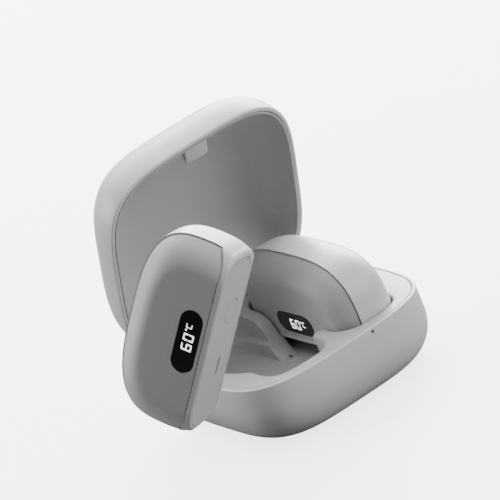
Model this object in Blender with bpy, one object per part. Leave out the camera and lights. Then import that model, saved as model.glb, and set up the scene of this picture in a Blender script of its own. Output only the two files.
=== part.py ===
"""Pair of electric hand warmers with their charging case.

The case stands on Z = 0 with its hinge at the back (+Y). The lid stands open,
one warmer sits in its well and the other is shown taken out, in front of the
case. Lengths are in metres.
"""
import math

import bmesh
import bpy
from mathutils import Matrix, Vector

MM = 0.001

# Clearances
GAP = 0.3 * MM
SEAM_GAP = 0.35 * MM
CUT_OVERRUN = 3.0 * MM

# Case
CASE_SIDE_ROOM = 13.2 * MM
CASE_END_ROOM = 8.0 * MM
RIM_DROP = 0.1 * MM
BELLY_HEIGHT = 17.1 * MM
BOTTOM_INSET = 12.6 * MM
BASE_WALL = 2.2 * MM
RIM_LAND = 1.3 * MM
RIM_ROUND = 0.6 * MM
LEDGE_DROP = 2.1 * MM
LID_HEIGHT = 27.2 * MM
LID_WALL = 1.5 * MM
LINER_WALL = 0.9 * MM
PLAN_EXPONENT = 3.8
BELLY_EXPONENT = 1.93
DOME_EXPONENT = 2.9
PLAN_COUNT = 56
LINER_COUNT = 40

# Hinge
HINGE_INSET = 1.9 * MM
HINGE_DROP = 4.9 * MM
LID_OPEN_ANGLE = math.radians(65.4)
KNUCKLE_RADIUS = 2.0 * MM
KNUCKLE_LENGTH = 27.4 * MM
WEB_THICKNESS = 1.2 * MM
WEB_RISE = 2.0 * MM
PIN_RADIUS = 0.8 * MM
PIN_LENGTH = 36.0 * MM
LUG_LENGTH = 5.0 * MM
LUG_RADIUS = 2.2 * MM

# Warmer
POD_HALF_LENGTH = 38.0 * MM
POD_RISE = 23.6 * MM
POD_FULL_DROP = 22.8 * MM
POD_FLAT_DROP = 10.3 * MM
POD_CORNER = 5.0 * MM
COVER_THICKNESS = 6.0 * MM
COVER_INSET = 10.0 * MM
COVER_FLAT_INSET = 2.2 * MM
BODY_THICKNESS = 20.7 * MM
BODY_INSET = 18.0 * MM
POD_WALL = 1.8 * MM
FLAT_WALL = 2.8 * MM
FLAT_EDGE_ROUND = 0.8 * MM
POD_EXPONENT = 3.0
COVER_EXPONENT = 2.5
BODY_EXPONENT = 3.3
POD_COUNT = 40
CAVITY_COUNT = 24
SIDE_PLATE_MARGIN = 2.4 * MM
SIDE_PLATE_THICKNESS = 1.2 * MM
SIDE_PLATE_BEVEL = 0.25 * MM

# Warmer display
WINDOW_LENGTH = 24.6 * MM
WINDOW_WIDTH = 9.0 * MM
WINDOW_THICKNESS = 0.9 * MM
WINDOW_LEDGE = 0.9 * MM
WINDOW_ALONG = -0.4 * MM
WINDOW_ACROSS = -4.1 * MM
DISPLAY_TOP = 1.4 * MM

# Warmer button and charging slot
BUTTON_RADIUS = 4.7 * MM
BUTTON_THICKNESS = 1.4 * MM
BUTTON_STEM_RADIUS = 1.3 * MM
BUTTON_STEM_LENGTH = 1.2 * MM
BUTTON_TRAVEL = 0.4 * MM
BUTTON_ALONG = 9.8 * MM
PANEL_DEPTH = 12.3 * MM
SLOT_ALONG = -13.5 * MM
SLOT_LENGTH = 7.6 * MM
SLOT_WIDTH = 1.2 * MM
CONTACT_LENGTH = 9.0 * MM
CONTACT_WIDTH = 2.6 * MM
CONTACT_THICKNESS = 0.8 * MM

# Warmer inner pieces
HEATER_LENGTH = 34.0 * MM
HEATER_WIDTH = 13.0 * MM
HEATER_THICKNESS = 0.8 * MM
HEATER_ROUND = 5.0 * MM
CELL_LENGTH = 46.0 * MM
CELL_WIDTH = 17.0 * MM
CELL_THICKNESS = 8.6 * MM
CELL_ROUND = 2.0 * MM
BOARD_LENGTH = 58.0 * MM
BOARD_WIDTH = 20.0 * MM
BOARD_THICKNESS = 1.0 * MM
BOARD_ROUND = 3.0 * MM
SWITCH_LENGTH = 14.0 * MM
SWITCH_WIDTH = 6.0 * MM
SWITCH_THICKNESS = 0.9 * MM
SWITCH_ROUND = 0.6 * MM
INNER_FLOOR = -4.5 * MM
MODULE_SIDE_GAP = 1.6 * MM

# Seated and lifted warmers
HALF_MIDDLE_ROOM = 5.1 * MM
LOOSE_PLACE = (-72.9 * MM, -70.3 * MM, 77.9 * MM)
LOOSE_ALONG = (0.442, -0.346, 0.827)
LOOSE_ACROSS = (-0.225, 0.850, 0.476)

# Tray
TRAY_THICKNESS = 1.8 * MM
TUB_WALL = 1.6 * MM
WELL_CLEARANCE = 0.8 * MM
WELL_FLOOR_INSET = 8.0 * MM
WELL_FRONT_STEP = 1.3 * MM
WELL_FLOOR_RISE = 2.5 * MM
WELL_DEEP_DROP = 5.9 * MM
WELL_FLARE = 0.7 * MM
WELL_SHARES = (
    (0.00, 1.00),
    (0.10, 0.78),
    (0.36, 0.57),
    (0.70, 0.43),
    (1.00, 0.3625),
    (1.20, 0.125),
    (1.60, 0.00),
)
WELL_SEAT_ROW = 4
SCOOP_RADIUS = 40.0 * MM
SCOOP_REACH = 36.5 * MM
SCOOP_DEPTH = 5.0 * MM
SCOOP_INSET = 17.0 * MM
SCOOP_SHARES = (
    (1.00, 0.00),
    (0.85, 0.45),
    (0.55, 0.80),
    (0.08, 1.00),
)
SADDLE_HALF_WIDTH = 8.0 * MM
SADDLE_BACK_INSET = 9.5 * MM
SADDLE_TOE = 1.0 * MM
SADDLE_SHOULDER = 1.6 * MM
NOSE_INSET = 15.5 * MM
NOSE_RADIUS = 4.3 * MM
SADDLE_SHARES = (
    (1.00, 0.00),
    (0.80, 0.03),
    (0.65, 0.12),
    (0.55, 0.30),
    (0.48, 0.56),
    (0.39, 0.78),
    (0.27, 0.92),
    (0.13, 0.985),
    (0.00, 1.00),
)
NOSE_SHARES = (-1.0, -0.85, -0.6, -0.3, 0.0, 0.3, 0.6, 0.85, 1.0)

# Lid catch
CATCH_LENGTH = 10.5 * MM
CATCH_HEIGHT = 6.4 * MM
CATCH_DEPTH = 4.6 * MM
CATCH_TIP = 0.7 * MM
LID_MAGNET_LENGTH = 7.0 * MM
LID_MAGNET_HEIGHT = 1.8 * MM
LID_MAGNET_DEPTH = 2.0 * MM

# Case inner pieces
POST_LENGTH = 10.0 * MM
POST_WIDTH = 5.0 * MM
POST_ROUND = 0.8 * MM
PIN_BLOCK_LENGTH = 8.0 * MM
PIN_BLOCK_WIDTH = 3.0 * MM
PIN_BLOCK_HEIGHT = 1.2 * MM
PIN_BLOCK_ROUND = 0.4 * MM
CHARGE_PIN_RADIUS = 0.5 * MM
CHARGE_PIN_RISE = 1.0 * MM
CHARGE_PIN_SPACING = 4.0 * MM
POD_MAGNET_RADIUS = 4.0 * MM
POD_MAGNET_THICKNESS = 1.8 * MM
LATCH_MAGNET_LENGTH = 12.0 * MM
LATCH_MAGNET_WIDTH = 1.8 * MM
LATCH_MAGNET_HEIGHT = 4.0 * MM
PACK_LENGTH = 50.0 * MM
PACK_WIDTH = 40.0 * MM
PACK_THICKNESS = 4.2 * MM
PACK_ROUND = 1.5 * MM
PACK_TOP_ROOM = 0.7 * MM
PACK_SHIFT = -5.0 * MM
CASE_BOARD_LENGTH = 34.0 * MM
CASE_BOARD_WIDTH = 16.0 * MM
CASE_BOARD_THICKNESS = 1.0 * MM
CASE_BOARD_RISE = 3.0 * MM
CASE_BOARD_INSET = 9.0 * MM
BOSS_RADIUS = 2.0 * MM
PORT_WIDTH = 9.0 * MM
PORT_HEIGHT = 3.3 * MM
PORT_LENGTH = 9.5 * MM
PORT_WALL = 0.4 * MM
PORT_ROUND = 1.5 * MM
PORT_RECESS = 0.6 * MM
TONGUE_WIDTH = 6.4 * MM
TONGUE_HEIGHT = 0.7 * MM
LAMP_RADIUS = 0.6 * MM
LAMP_LENGTH = 1.6 * MM
LAMP_OFFSET = 10.1 * MM
LAMP_DROP = 1.7 * MM
SADDLE_LAMP_RADIUS = 0.8 * MM
SADDLE_LAMP_PLACE = 6.5 * MM

# Sizes that follow from the ones above
PACK_LOW = BASE_WALL + GAP
TUB_FLOOR = PACK_LOW + PACK_THICKNESS + PACK_TOP_ROOM + POD_MAGNET_THICKNESS + GAP
WELL_DEEP_FLOOR = TUB_FLOOR + TUB_WALL
WELL_SEAT = WELL_DEEP_FLOOR + WELL_DEEP_DROP
POD_BOTTOM = WELL_SEAT + GAP
SEAT_HEIGHT = POD_BOTTOM + POD_FLAT_DROP
BASE_HEIGHT = SEAT_HEIGHT - RIM_DROP
SEAT_OFFSET = HALF_MIDDLE_ROOM + COVER_THICKNESS
HALF_WIDTH = SEAT_OFFSET + BODY_THICKNESS + CASE_SIDE_ROOM
HALF_DEPTH = POD_HALF_LENGTH + CASE_END_ROOM
LID_SEAT = BASE_HEIGHT + SEAM_GAP
HINGE_PLACE = (0, HALF_DEPTH - HINGE_INSET, BASE_HEIGHT - HINGE_DROP)
COVER_FLAT_DROP = POD_FLAT_DROP - FLAT_EDGE_ROUND
CASE_BOARD_HEIGHT = PACK_LOW + CASE_BOARD_RISE
CASE_BOARD_BACK = HALF_DEPTH - CASE_BOARD_INSET
SADDLE_BACK = POD_HALF_LENGTH - SADDLE_BACK_INSET
NOSE_TIP = NOSE_INSET - POD_HALF_LENGTH
SCOOP_HALF_LENGTH = POD_HALF_LENGTH - SCOOP_INSET


def clear_scene():
    for old in list(bpy.data.objects):
        bpy.data.objects.remove(old, do_unlink=True)


def material(name, colour, roughness, metallic=0.0):
    made = bpy.data.materials.new(name)
    made.use_nodes = True
    shader = made.node_tree.nodes["Principled BSDF"]
    shader.inputs["Base Color"].default_value = (*colour, 1.0)
    shader.inputs["Roughness"].default_value = roughness
    shader.inputs["Metallic"].default_value = metallic
    made.diffuse_color = (*colour, 1.0)
    return made


def add_object(name, mesh, look, parent=None):
    made = bpy.data.objects.new(name, mesh)
    bpy.context.scene.collection.objects.link(made)
    mesh.materials.append(look)
    made.parent = parent
    return made


def finish_mesh(name, work, smooth_angle=math.radians(32)):
    bmesh.ops.recalc_face_normals(work, faces=work.faces)
    mesh = bpy.data.meshes.new(name)
    work.to_mesh(mesh)
    work.free()
    mesh.shade_smooth()
    mesh.set_sharp_from_angle(angle=smooth_angle)
    return mesh


def hide_cutter(cutter):
    cutter.hide_render = True
    cutter.display_type = "WIRE"
    return cutter


def boolean(target, tool, operation="DIFFERENCE"):
    hide_cutter(tool)
    step = target.modifiers.new(operation.title() + " " + tool.name, "BOOLEAN")
    step.operation = operation
    step.solver = "EXACT"
    step.object = tool


def empty(name, matrix):
    made = bpy.data.objects.new(name, None)
    bpy.context.scene.collection.objects.link(made)
    made.matrix_world = matrix
    return made


# Outlines
def signed_power(value, power):
    return math.copysign(abs(value) ** power, value)


def superellipse(half_x, half_y, exponent, count):
    points = []
    for i in range(count):
        turn = math.tau * i / count
        x = half_x * signed_power(math.cos(turn), 2 / exponent)
        y = half_y * signed_power(math.sin(turn), 2 / exponent)
        points.append((x, y))
    return points


def case_ring(inset, z, count=PLAN_COUNT):
    plan = superellipse(HALF_WIDTH - inset, HALF_DEPTH - inset, PLAN_EXPONENT, count)
    return [(x, y, z) for x, y in plan]


def rounded_box_plan(length, width, radius, corner_steps=3):
    points = []
    for quarter in range(4):
        side_x = 1 if quarter in (0, 3) else -1
        side_y = 1 if quarter in (0, 1) else -1
        centre_x = side_x * (length / 2 - radius)
        centre_y = side_y * (width / 2 - radius)
        for i in range(corner_steps + 1):
            turn = math.pi / 2 * (quarter + i / corner_steps)
            x = centre_x + radius * math.cos(turn)
            y = centre_y + radius * math.sin(turn)
            points.append((x, y))
    return points


def circle_plan(radius, count=24):
    return [
        (radius * math.cos(math.tau * i / count), radius * math.sin(math.tau * i / count))
        for i in range(count)
    ]


# Solids
def loft(rings, tip=None, start_tip=None):
    """Closed solid through rings of equal length, with flat or pointed ends."""
    work = bmesh.new()
    loops = [[work.verts.new(point) for point in ring] for ring in rings]
    count = len(rings[0])
    for low, high in zip(loops, loops[1:]):
        for i in range(count):
            j = (i + 1) % count
            work.faces.new((low[i], low[j], high[j], high[i]))
    for loop, point in ((loops[0], start_tip), (loops[-1], tip)):
        if point is None:
            work.faces.new(loop)
            continue
        apex = work.verts.new(point)
        for i in range(count):
            work.faces.new((loop[i], loop[(i + 1) % count], apex))
    return work


def prism(plan, low, high, chamfer=0.0):
    rings = [[(x, y, low) for x, y in plan], [(x, y, high) for x, y in plan]]
    work = loft(rings)
    if chamfer:
        edges = [e for e in work.edges if e.verts[0].co.z == e.verts[1].co.z]
        bmesh.ops.bevel(work, geom=edges, offset=chamfer, segments=1, affect="EDGES")
    return work


def moved(work, matrix):
    bmesh.ops.transform(work, matrix=matrix, verts=work.verts)
    return work


def placed_prism(plan, low, high, matrix, chamfer=0.0):
    return moved(prism(plan, low, high, chamfer), matrix)


def along_x(matrix_place):
    return Matrix.Translation(matrix_place) @ Matrix.Rotation(math.pi / 2, 4, "Y")


def along_y(matrix_place):
    return Matrix.Translation(matrix_place) @ Matrix.Rotation(-math.pi / 2, 4, "X")


def slice_solid(work, place, normal):
    """Keeps the side of a closed solid that lies behind a plane, and caps it."""
    parts = work.verts[:] + work.edges[:] + work.faces[:]
    cut = bmesh.ops.bisect_plane(
        work, geom=parts, plane_co=place, plane_no=normal, clear_outer=True
    )
    edges = [e for e in cut["geom_cut"] if isinstance(e, bmesh.types.BMEdge)]
    bmesh.ops.edgeloop_fill(work, edges=edges)
    return work


def cutter_object(name, work, look, parent=None):
    return hide_cutter(add_object(name, finish_mesh(name, work), look, parent))


# Case base
def belly_inset(z):
    share = max(0.0, (BELLY_HEIGHT - z) / BELLY_HEIGHT)
    rest = max(0.0, 1 - share**BELLY_EXPONENT)
    return BOTTOM_INSET * (1 - rest ** (1 / BELLY_EXPONENT))


def base_outer_rings():
    rings = []
    steps = 7
    for i in range(steps):
        turn = math.pi / 2 * (1 - i / steps)
        z = BELLY_HEIGHT * (1 - math.sin(turn) ** (2 / BELLY_EXPONENT))
        rings.append(case_ring(belly_inset(z), z))
    rings.append(case_ring(0, BELLY_HEIGHT))
    for i in range(3):
        turn = math.pi / 2 * i / 2
        inset = RIM_ROUND * (1 - math.cos(turn))
        z = BASE_HEIGHT - RIM_ROUND * (1 - math.sin(turn))
        rings.append(case_ring(inset, z))
    return rings


def base_cavity_rings():
    rings = []
    steps = 4
    for i in range(steps):
        turn = math.pi / 2 * (1 - i / steps)
        z = BELLY_HEIGHT * (1 - math.sin(turn) ** (2 / BELLY_EXPONENT))
        level = BASE_WALL + z * (BELLY_HEIGHT - BASE_WALL) / BELLY_HEIGHT
        rings.append(case_ring(belly_inset(z) + BASE_WALL, level))
    ledge = BASE_HEIGHT - LEDGE_DROP
    rings.append(case_ring(BASE_WALL, BELLY_HEIGHT))
    rings.append(case_ring(BASE_WALL, ledge))
    rings.append(case_ring(RIM_LAND, ledge))
    rings.append(case_ring(RIM_LAND, BASE_HEIGHT + CUT_OVERRUN))
    return rings


def hinge_notch(look, name, low, inner, high):
    length = KNUCKLE_LENGTH + 2 * GAP
    plan = rounded_box_plan(length, high - low, GAP)
    middle = (0, inner, (low + high) / 2)
    depth = HALF_DEPTH + CUT_OVERRUN - inner
    return cutter_object(name, placed_prism(plan, 0, depth, along_y(middle)), look)


def make_base_shell(look):
    shell = add_object("base_shell", finish_mesh("base_shell", loft(base_outer_rings())), look)
    boolean(shell, cutter_object("cut_base_cavity", loft(base_cavity_rings()), look))
    for name, side in (("left", -1), ("right", 1)):
        middle = side * (KNUCKLE_LENGTH / 2 + GAP + LUG_LENGTH / 2)
        low = HINGE_PLACE[2] - LUG_RADIUS
        high = BASE_HEIGHT - LEDGE_DROP
        inner = HINGE_PLACE[1] - LUG_RADIUS
        outer = HALF_DEPTH - BASE_WALL / 2
        plan = rounded_box_plan(LUG_LENGTH, high - low, GAP)
        place = (middle, inner, (low + high) / 2)
        lug = placed_prism(plan, 0, outer - inner, along_y(place))
        boolean(shell, cutter_object("hinge_lug_" + name, lug, look), "UNION")
        boss_x = side * (CASE_BOARD_LENGTH / 2 - BOSS_RADIUS)
        boss_y = CASE_BOARD_BACK - CASE_BOARD_WIDTH / 2
        boss = placed_prism(
            circle_plan(BOSS_RADIUS, 16),
            BASE_WALL / 2,
            CASE_BOARD_HEIGHT - GAP,
            Matrix.Translation((boss_x, boss_y, 0)),
        )
        boolean(shell, cutter_object("board_boss_" + name, boss, look), "UNION")
    low = HINGE_PLACE[2] - KNUCKLE_RADIUS - GAP
    inner = HALF_DEPTH - BASE_WALL - CUT_OVERRUN
    notch = hinge_notch(look, "cut_hinge_notch", low, inner, BASE_HEIGHT + CUT_OVERRUN)
    boolean(shell, notch)
    bore_length = PIN_LENGTH + 2 * GAP
    bore = placed_prism(
        circle_plan(PIN_RADIUS + GAP, 20), -bore_length / 2, bore_length / 2, along_x(HINGE_PLACE)
    )
    boolean(shell, cutter_object("cut_pin_bore", bore, look))
    port = placed_prism(
        rounded_box_plan(PORT_WIDTH + 2 * GAP, PORT_HEIGHT + 2 * GAP, PORT_ROUND + GAP, 4),
        0,
        BASE_WALL + 3 * CUT_OVERRUN,
        along_y((0, HALF_DEPTH - BASE_WALL - 2 * CUT_OVERRUN, port_level())),
    )
    boolean(shell, cutter_object("cut_port_hole", port, look))
    lamp = placed_prism(
        circle_plan(LAMP_RADIUS + GAP, 16),
        -CUT_OVERRUN,
        CUT_OVERRUN,
        along_y((LAMP_OFFSET, -HALF_DEPTH, BASE_HEIGHT - LAMP_DROP)),
    )
    boolean(shell, cutter_object("cut_lamp_hole", lamp, look))
    return shell


def port_level():
    return CASE_BOARD_HEIGHT + CASE_BOARD_THICKNESS + GAP + PORT_HEIGHT / 2


# Warmer outline, in its own frame: X along the grip, Y to the crown, Z out of the display
def pod_ring(inset, flat, z, count):
    """One section of a warmer: a superellipse with a flat lower side and rounded corners."""
    corner = max(POD_CORNER - inset, POD_CORNER / 2)
    half = POD_HALF_LENGTH - inset
    reach = POD_RISE - inset
    drop = POD_FULL_DROP - inset
    turn_in = flat_turn(corner - flat, reach, drop)
    points = []
    for i in range(count + 1):
        turn = turn_in + (math.pi - 2 * turn_in) * i / count
        x = half * signed_power(math.cos(turn), 2 / POD_EXPONENT)
        y = signed_power(math.sin(turn), 2 / POD_EXPONENT)
        points.append((x, y * (reach if y > 0 else drop), z))
    end = points[0][0] - corner
    for side, quarter in ((-1, 2), (1, 3)):
        for k in range(1, 5) if side < 0 else range(4):
            turn = math.pi / 2 * (quarter + k / 4)
            x = side * end + corner * math.cos(turn)
            points.append((x, corner - flat + corner * math.sin(turn), z))
    return points


def flat_turn(level, reach, drop):
    """Angle at which the superellipse reaches a level, where the corner begins."""
    if level < 0:
        return -math.asin((-level / drop) ** (POD_EXPONENT / 2))
    return math.asin((level / reach) ** (POD_EXPONENT / 2))


def cover_rings(offset, low, steps, count):
    rings = []
    top = COVER_THICKNESS - offset
    for i in range(steps + 1):
        turn = math.pi / 2 * i / steps
        share = math.sin(turn) ** (2 / COVER_EXPONENT)
        inset_share = 1 - math.cos(turn) ** (2 / COVER_EXPONENT)
        flat = COVER_FLAT_DROP - offset - COVER_FLAT_INSET * inset_share
        inset = COVER_INSET * inset_share + offset
        rings.append(pod_ring(inset, flat, low + (top - low) * share, count))
    return rings


def body_rings(offset, flat_offset, high, steps, count):
    """Sections from the seam to the back, with the flat side's edges rounded at both ends."""
    flat = POD_FLAT_DROP - flat_offset
    edge = FLAT_EDGE_ROUND
    rings = [pod_ring(offset, flat - edge, high, count)]
    depth = BODY_THICKNESS - offset
    for i in range(1, steps + 1):
        turn = math.pi / 2 * i / steps
        share = math.sin(turn) ** (2 / BODY_EXPONENT)
        inset = BODY_INSET * (1 - math.cos(turn) ** (2 / BODY_EXPONENT))
        back = 2 * edge * max(0, i + 2 - steps)
        if i == 1:
            rings.append(pod_ring(offset + inset / 4, flat, high - 2 * edge, count))
        rings.append(pod_ring(inset + offset, flat - back, high - (depth + high) * share, count))
    return rings


def slot_plan(length, width, steps=6):
    return rounded_box_plan(length, width, width / 2, steps)


def below_flat(along, depth):
    """Frame on the flat side, with Z pointing into the warmer."""
    turn = Matrix.Rotation(-math.pi / 2, 4, "X")
    return Matrix.Translation((along, -POD_FLAT_DROP, -depth)) @ turn


def cover_form(drop, steps=7):
    """The cover's outer form as a solid, lowered by a drop."""
    return moved(loft(cover_rings(0, GAP / 2, steps, POD_COUNT)), Matrix.Translation((0, 0, -drop)))


def window_prism(grow, low):
    place = Matrix.Translation((WINDOW_ALONG, WINDOW_ACROSS, 0))
    plan = slot_plan(WINDOW_LENGTH + 2 * grow, WINDOW_WIDTH + 2 * grow)
    return placed_prism(plan, low, COVER_THICKNESS + CUT_OVERRUN, place)


def make_cover(name, look, axis):
    mesh = finish_mesh(name + "_cover", cover_form(0))
    cover = add_object(name + "_cover", mesh, look, axis)
    inner = loft(cover_rings(POD_WALL, -CUT_OVERRUN, 4, CAVITY_COUNT))
    boolean(cover, cutter_object(name + "_cut_cover_cavity", inner, look, axis))
    pocket = cutter_object(name + "_cut_window_pocket", window_prism(GAP, 0), look, axis)
    floor = cover_form(WINDOW_THICKNESS + GAP)
    boolean(pocket, cutter_object(name + "_window_pocket_floor", floor, look, axis))
    boolean(cover, pocket)
    opening = window_prism(-WINDOW_LEDGE, -CUT_OVERRUN)
    boolean(cover, cutter_object(name + "_cut_window_opening", opening, look, axis))
    return cover


def make_body(name, look, axis):
    work = loft(body_rings(0, 0, -GAP / 2, 8, POD_COUNT))
    body = add_object(name + "_body", finish_mesh(name + "_body", work), look, axis)
    inner = loft(body_rings(POD_WALL, FLAT_WALL, CUT_OVERRUN, 5, CAVITY_COUNT))
    boolean(body, cutter_object(name + "_cut_body_cavity", inner, look, axis))
    pocket = side_plate_solid(SIDE_PLATE_MARGIN - GAP, -CUT_OVERRUN, SIDE_PLATE_THICKNESS + GAP)
    boolean(body, cutter_object(name + "_cut_plate_pocket", pocket, look, axis))
    bore = placed_prism(
        circle_plan(BUTTON_STEM_RADIUS + GAP, 20),
        -CUT_OVERRUN,
        FLAT_WALL + CUT_OVERRUN,
        below_flat(BUTTON_ALONG, PANEL_DEPTH),
    )
    boolean(body, cutter_object(name + "_cut_stem_bore", bore, look, axis))
    recess = placed_prism(
        circle_plan(BUTTON_RADIUS + GAP, 28),
        -CUT_OVERRUN,
        BUTTON_THICKNESS + BUTTON_TRAVEL + GAP,
        below_flat(BUTTON_ALONG, PANEL_DEPTH),
    )
    boolean(body, cutter_object(name + "_cut_button_recess", recess, look, axis))
    pocket = placed_prism(
        rounded_box_plan(CONTACT_LENGTH + 2 * GAP, CONTACT_WIDTH + 2 * GAP, GAP),
        0,
        SIDE_PLATE_THICKNESS + 2 * GAP + CONTACT_THICKNESS,
        below_flat(SLOT_ALONG, PANEL_DEPTH),
    )
    boolean(body, cutter_object(name + "_cut_contact_pocket", pocket, look, axis))
    return body


def side_plate_solid(margin, low, high):
    """Plate that follows the flat side's edge, a margin inside it, between two depths."""
    steps = 9
    half = []
    for i in range(steps + 1):
        turn = math.pi / 2 * i / steps
        share = math.sin(turn) ** (2 / BODY_EXPONENT)
        inset = BODY_INSET * (1 - math.cos(turn) ** (2 / BODY_EXPONENT))
        x = POD_HALF_LENGTH - POD_CORNER - margin / 2 - inset
        z = margin + (BODY_THICKNESS - 2 * margin) * share
        half.append((x, z))
    front = half.pop(0)
    for i in range(4):
        turn = math.pi / 2 * i / 4
        x = front[0] - POD_CORNER * (1 - math.sin(turn))
        half.insert(i, (x, front[1] + POD_CORNER * (1 - math.cos(turn))))
    plan = half + [(-x, z) for x, z in reversed(half)]
    return placed_prism(plan, low, high, below_flat(0, 0))


def make_side_plate(name, look, axis):
    work = side_plate_solid(SIDE_PLATE_MARGIN, 0, SIDE_PLATE_THICKNESS)
    plate = add_object(name + "_side_plate", finish_mesh(name + "_side_plate", work), look, axis)
    hole = placed_prism(
        circle_plan(BUTTON_RADIUS + GAP, 28),
        -CUT_OVERRUN,
        CUT_OVERRUN,
        below_flat(BUTTON_ALONG, PANEL_DEPTH),
    )
    boolean(plate, cutter_object(name + "_cut_button_hole", hole, look, axis))
    slot = placed_prism(
        slot_plan(SLOT_LENGTH, SLOT_WIDTH, 4),
        -CUT_OVERRUN,
        CUT_OVERRUN,
        below_flat(SLOT_ALONG, PANEL_DEPTH),
    )
    boolean(plate, cutter_object(name + "_cut_slot", slot, look, axis))
    return plate


def make_button(name, look, axis):
    """The button's origin is the centre of its outer face, on its line of travel."""
    work = prism(circle_plan(BUTTON_RADIUS, 28), 0, BUTTON_THICKNESS, SIDE_PLATE_BEVEL)
    button = add_object(name + "_button", finish_mesh(name + "_button", work), look, axis)
    button.matrix_local = below_flat(BUTTON_ALONG, PANEL_DEPTH)
    stem = prism(
        circle_plan(BUTTON_STEM_RADIUS, 20),
        BUTTON_THICKNESS / 2,
        BUTTON_THICKNESS + BUTTON_STEM_LENGTH,
    )
    boolean(button, cutter_object(name + "_button_stem", stem, look, button), "UNION")
    return button


def make_window(name, look, axis):
    """Lens of even thickness that follows the cover's crown."""
    window = add_object(
        name + "_window", finish_mesh(name + "_window", window_prism(0, 0)), look, axis
    )
    form = cutter_object(name + "_window_face", cover_form(0), look, axis)
    boolean(window, form, "INTERSECT")
    back = cutter_object(name + "_window_back", cover_form(WINDOW_THICKNESS), look, axis)
    boolean(window, back)
    return window


def pod_block(name, look, axis, size, centre, low, high, radius):
    place = Matrix.Translation((centre[0], centre[1], 0))
    plan = rounded_box_plan(size[0], size[1], radius)
    return add_object(name, finish_mesh(name, placed_prism(plan, low, high, place)), look, axis)


def make_pod_inside(name, looks, axis):
    heater_low = -BODY_THICKNESS + POD_WALL + 2 * GAP
    heater_high = heater_low + HEATER_THICKNESS
    heater_y = INNER_FLOOR + HEATER_WIDTH / 2 - CELL_ROUND / 2
    cell_low = heater_high + GAP
    cell_high = cell_low + CELL_THICKNESS
    cell_y = INNER_FLOOR + CELL_WIDTH / 2
    board_low = cell_high + GAP
    board_high = board_low + BOARD_THICKNESS
    board_y = INNER_FLOOR + BOARD_WIDTH / 2
    module_length = WINDOW_LENGTH - 2 * WINDOW_LEDGE - MODULE_SIDE_GAP
    module_width = WINDOW_WIDTH - 2 * WINDOW_LEDGE - MODULE_SIDE_GAP
    for label, look, size, centre, low, high, radius in (
        ("heater_plate", "metal", (HEATER_LENGTH, HEATER_WIDTH), (0, heater_y),
         heater_low, heater_high, HEATER_ROUND),
        ("battery_cell", "cell", (CELL_LENGTH, CELL_WIDTH), (0, cell_y),
         cell_low, cell_high, CELL_ROUND),
        ("control_board", "board", (BOARD_LENGTH, BOARD_WIDTH), (0, board_y),
         board_low, board_high, BOARD_ROUND),
        ("display_module", "display", (module_length, module_width), (WINDOW_ALONG, WINDOW_ACROSS),
         board_high + GAP, DISPLAY_TOP, MODULE_SIDE_GAP),
    ):
        pod_block(name + "_" + label, looks[look], axis, size, centre, low, high, radius)
    stem_end = BUTTON_THICKNESS + BUTTON_STEM_LENGTH + BUTTON_TRAVEL + GAP
    switch = placed_prism(
        rounded_box_plan(SWITCH_LENGTH, SWITCH_WIDTH, SWITCH_ROUND),
        max(stem_end, FLAT_WALL + GAP),
        max(stem_end, FLAT_WALL + GAP) + SWITCH_THICKNESS,
        below_flat(BUTTON_ALONG, PANEL_DEPTH),
    )
    switch_name = name + "_button_switch"
    add_object(switch_name, finish_mesh(switch_name, switch), looks["board"], axis)
    contact = placed_prism(
        rounded_box_plan(CONTACT_LENGTH, CONTACT_WIDTH, GAP),
        SIDE_PLATE_THICKNESS + GAP,
        SIDE_PLATE_THICKNESS + GAP + CONTACT_THICKNESS,
        below_flat(SLOT_ALONG, PANEL_DEPTH),
    )
    contact_name = name + "_charge_contact"
    add_object(contact_name, finish_mesh(contact_name, contact), looks["gold"], axis)


def make_pod(name, looks, matrix):
    axis = empty(name + "_axis", matrix)
    make_cover(name, looks["cover"], axis)
    make_body(name, looks["body"], axis)
    make_side_plate(name, looks["plate"], axis)
    make_button(name, looks["button"], axis)
    make_window(name, looks["window"], axis)
    make_pod_inside(name, looks, axis)
    return axis


def seat_matrix(side):
    """Seat of a warmer: flat side down, display towards the middle of the case."""
    along = Vector((0, -side, 0))
    across = Vector((0, 0, 1))
    return frame_matrix(along, across, Vector((side * SEAT_OFFSET, 0, SEAT_HEIGHT)))


def frame_matrix(along, across, place):
    along = along.normalized()
    out = along.cross(across).normalized()
    across = out.cross(along)
    turn = Matrix((along, across, out)).transposed().to_4x4()
    return Matrix.Translation(place) @ turn


def loose_matrix():
    return frame_matrix(Vector(LOOSE_ALONG), Vector(LOOSE_ACROSS), Vector(LOOSE_PLACE))


# Tray
def well_ring(side, offset, front_offset, back_offset, level):
    seat = seat_matrix(side)
    ring = []
    for x, z in pod_plan(offset, front_offset, back_offset):
        world = seat @ Vector((x, 0, z))
        ring.append((world.x, world.y, level))
    return ring


def pod_plan(offset, front_offset, back_offset, steps=8):
    """Outline of a seated warmer from above, in its own X and Z, grown by three offsets."""
    back = []
    for i in range(steps + 1):
        turn = math.pi / 2 * i / steps
        share = math.sin(turn) ** (2 / BODY_EXPONENT)
        inset = BODY_INSET * (1 - math.cos(turn) ** (2 / BODY_EXPONENT))
        back.append((POD_HALF_LENGTH + offset - inset, -(BODY_THICKNESS + back_offset) * share))
    front = []
    for i in range(1, 5):
        share = i / 4
        inset = COVER_INSET * (1 - (1 - share**COVER_EXPONENT) ** (1 / COVER_EXPONENT))
        front.append((POD_HALF_LENGTH + offset - inset, (COVER_THICKNESS + front_offset) * share))
    half = front[::-1] + back
    return half + [(-x, z) for x, z in reversed(half)]


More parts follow.
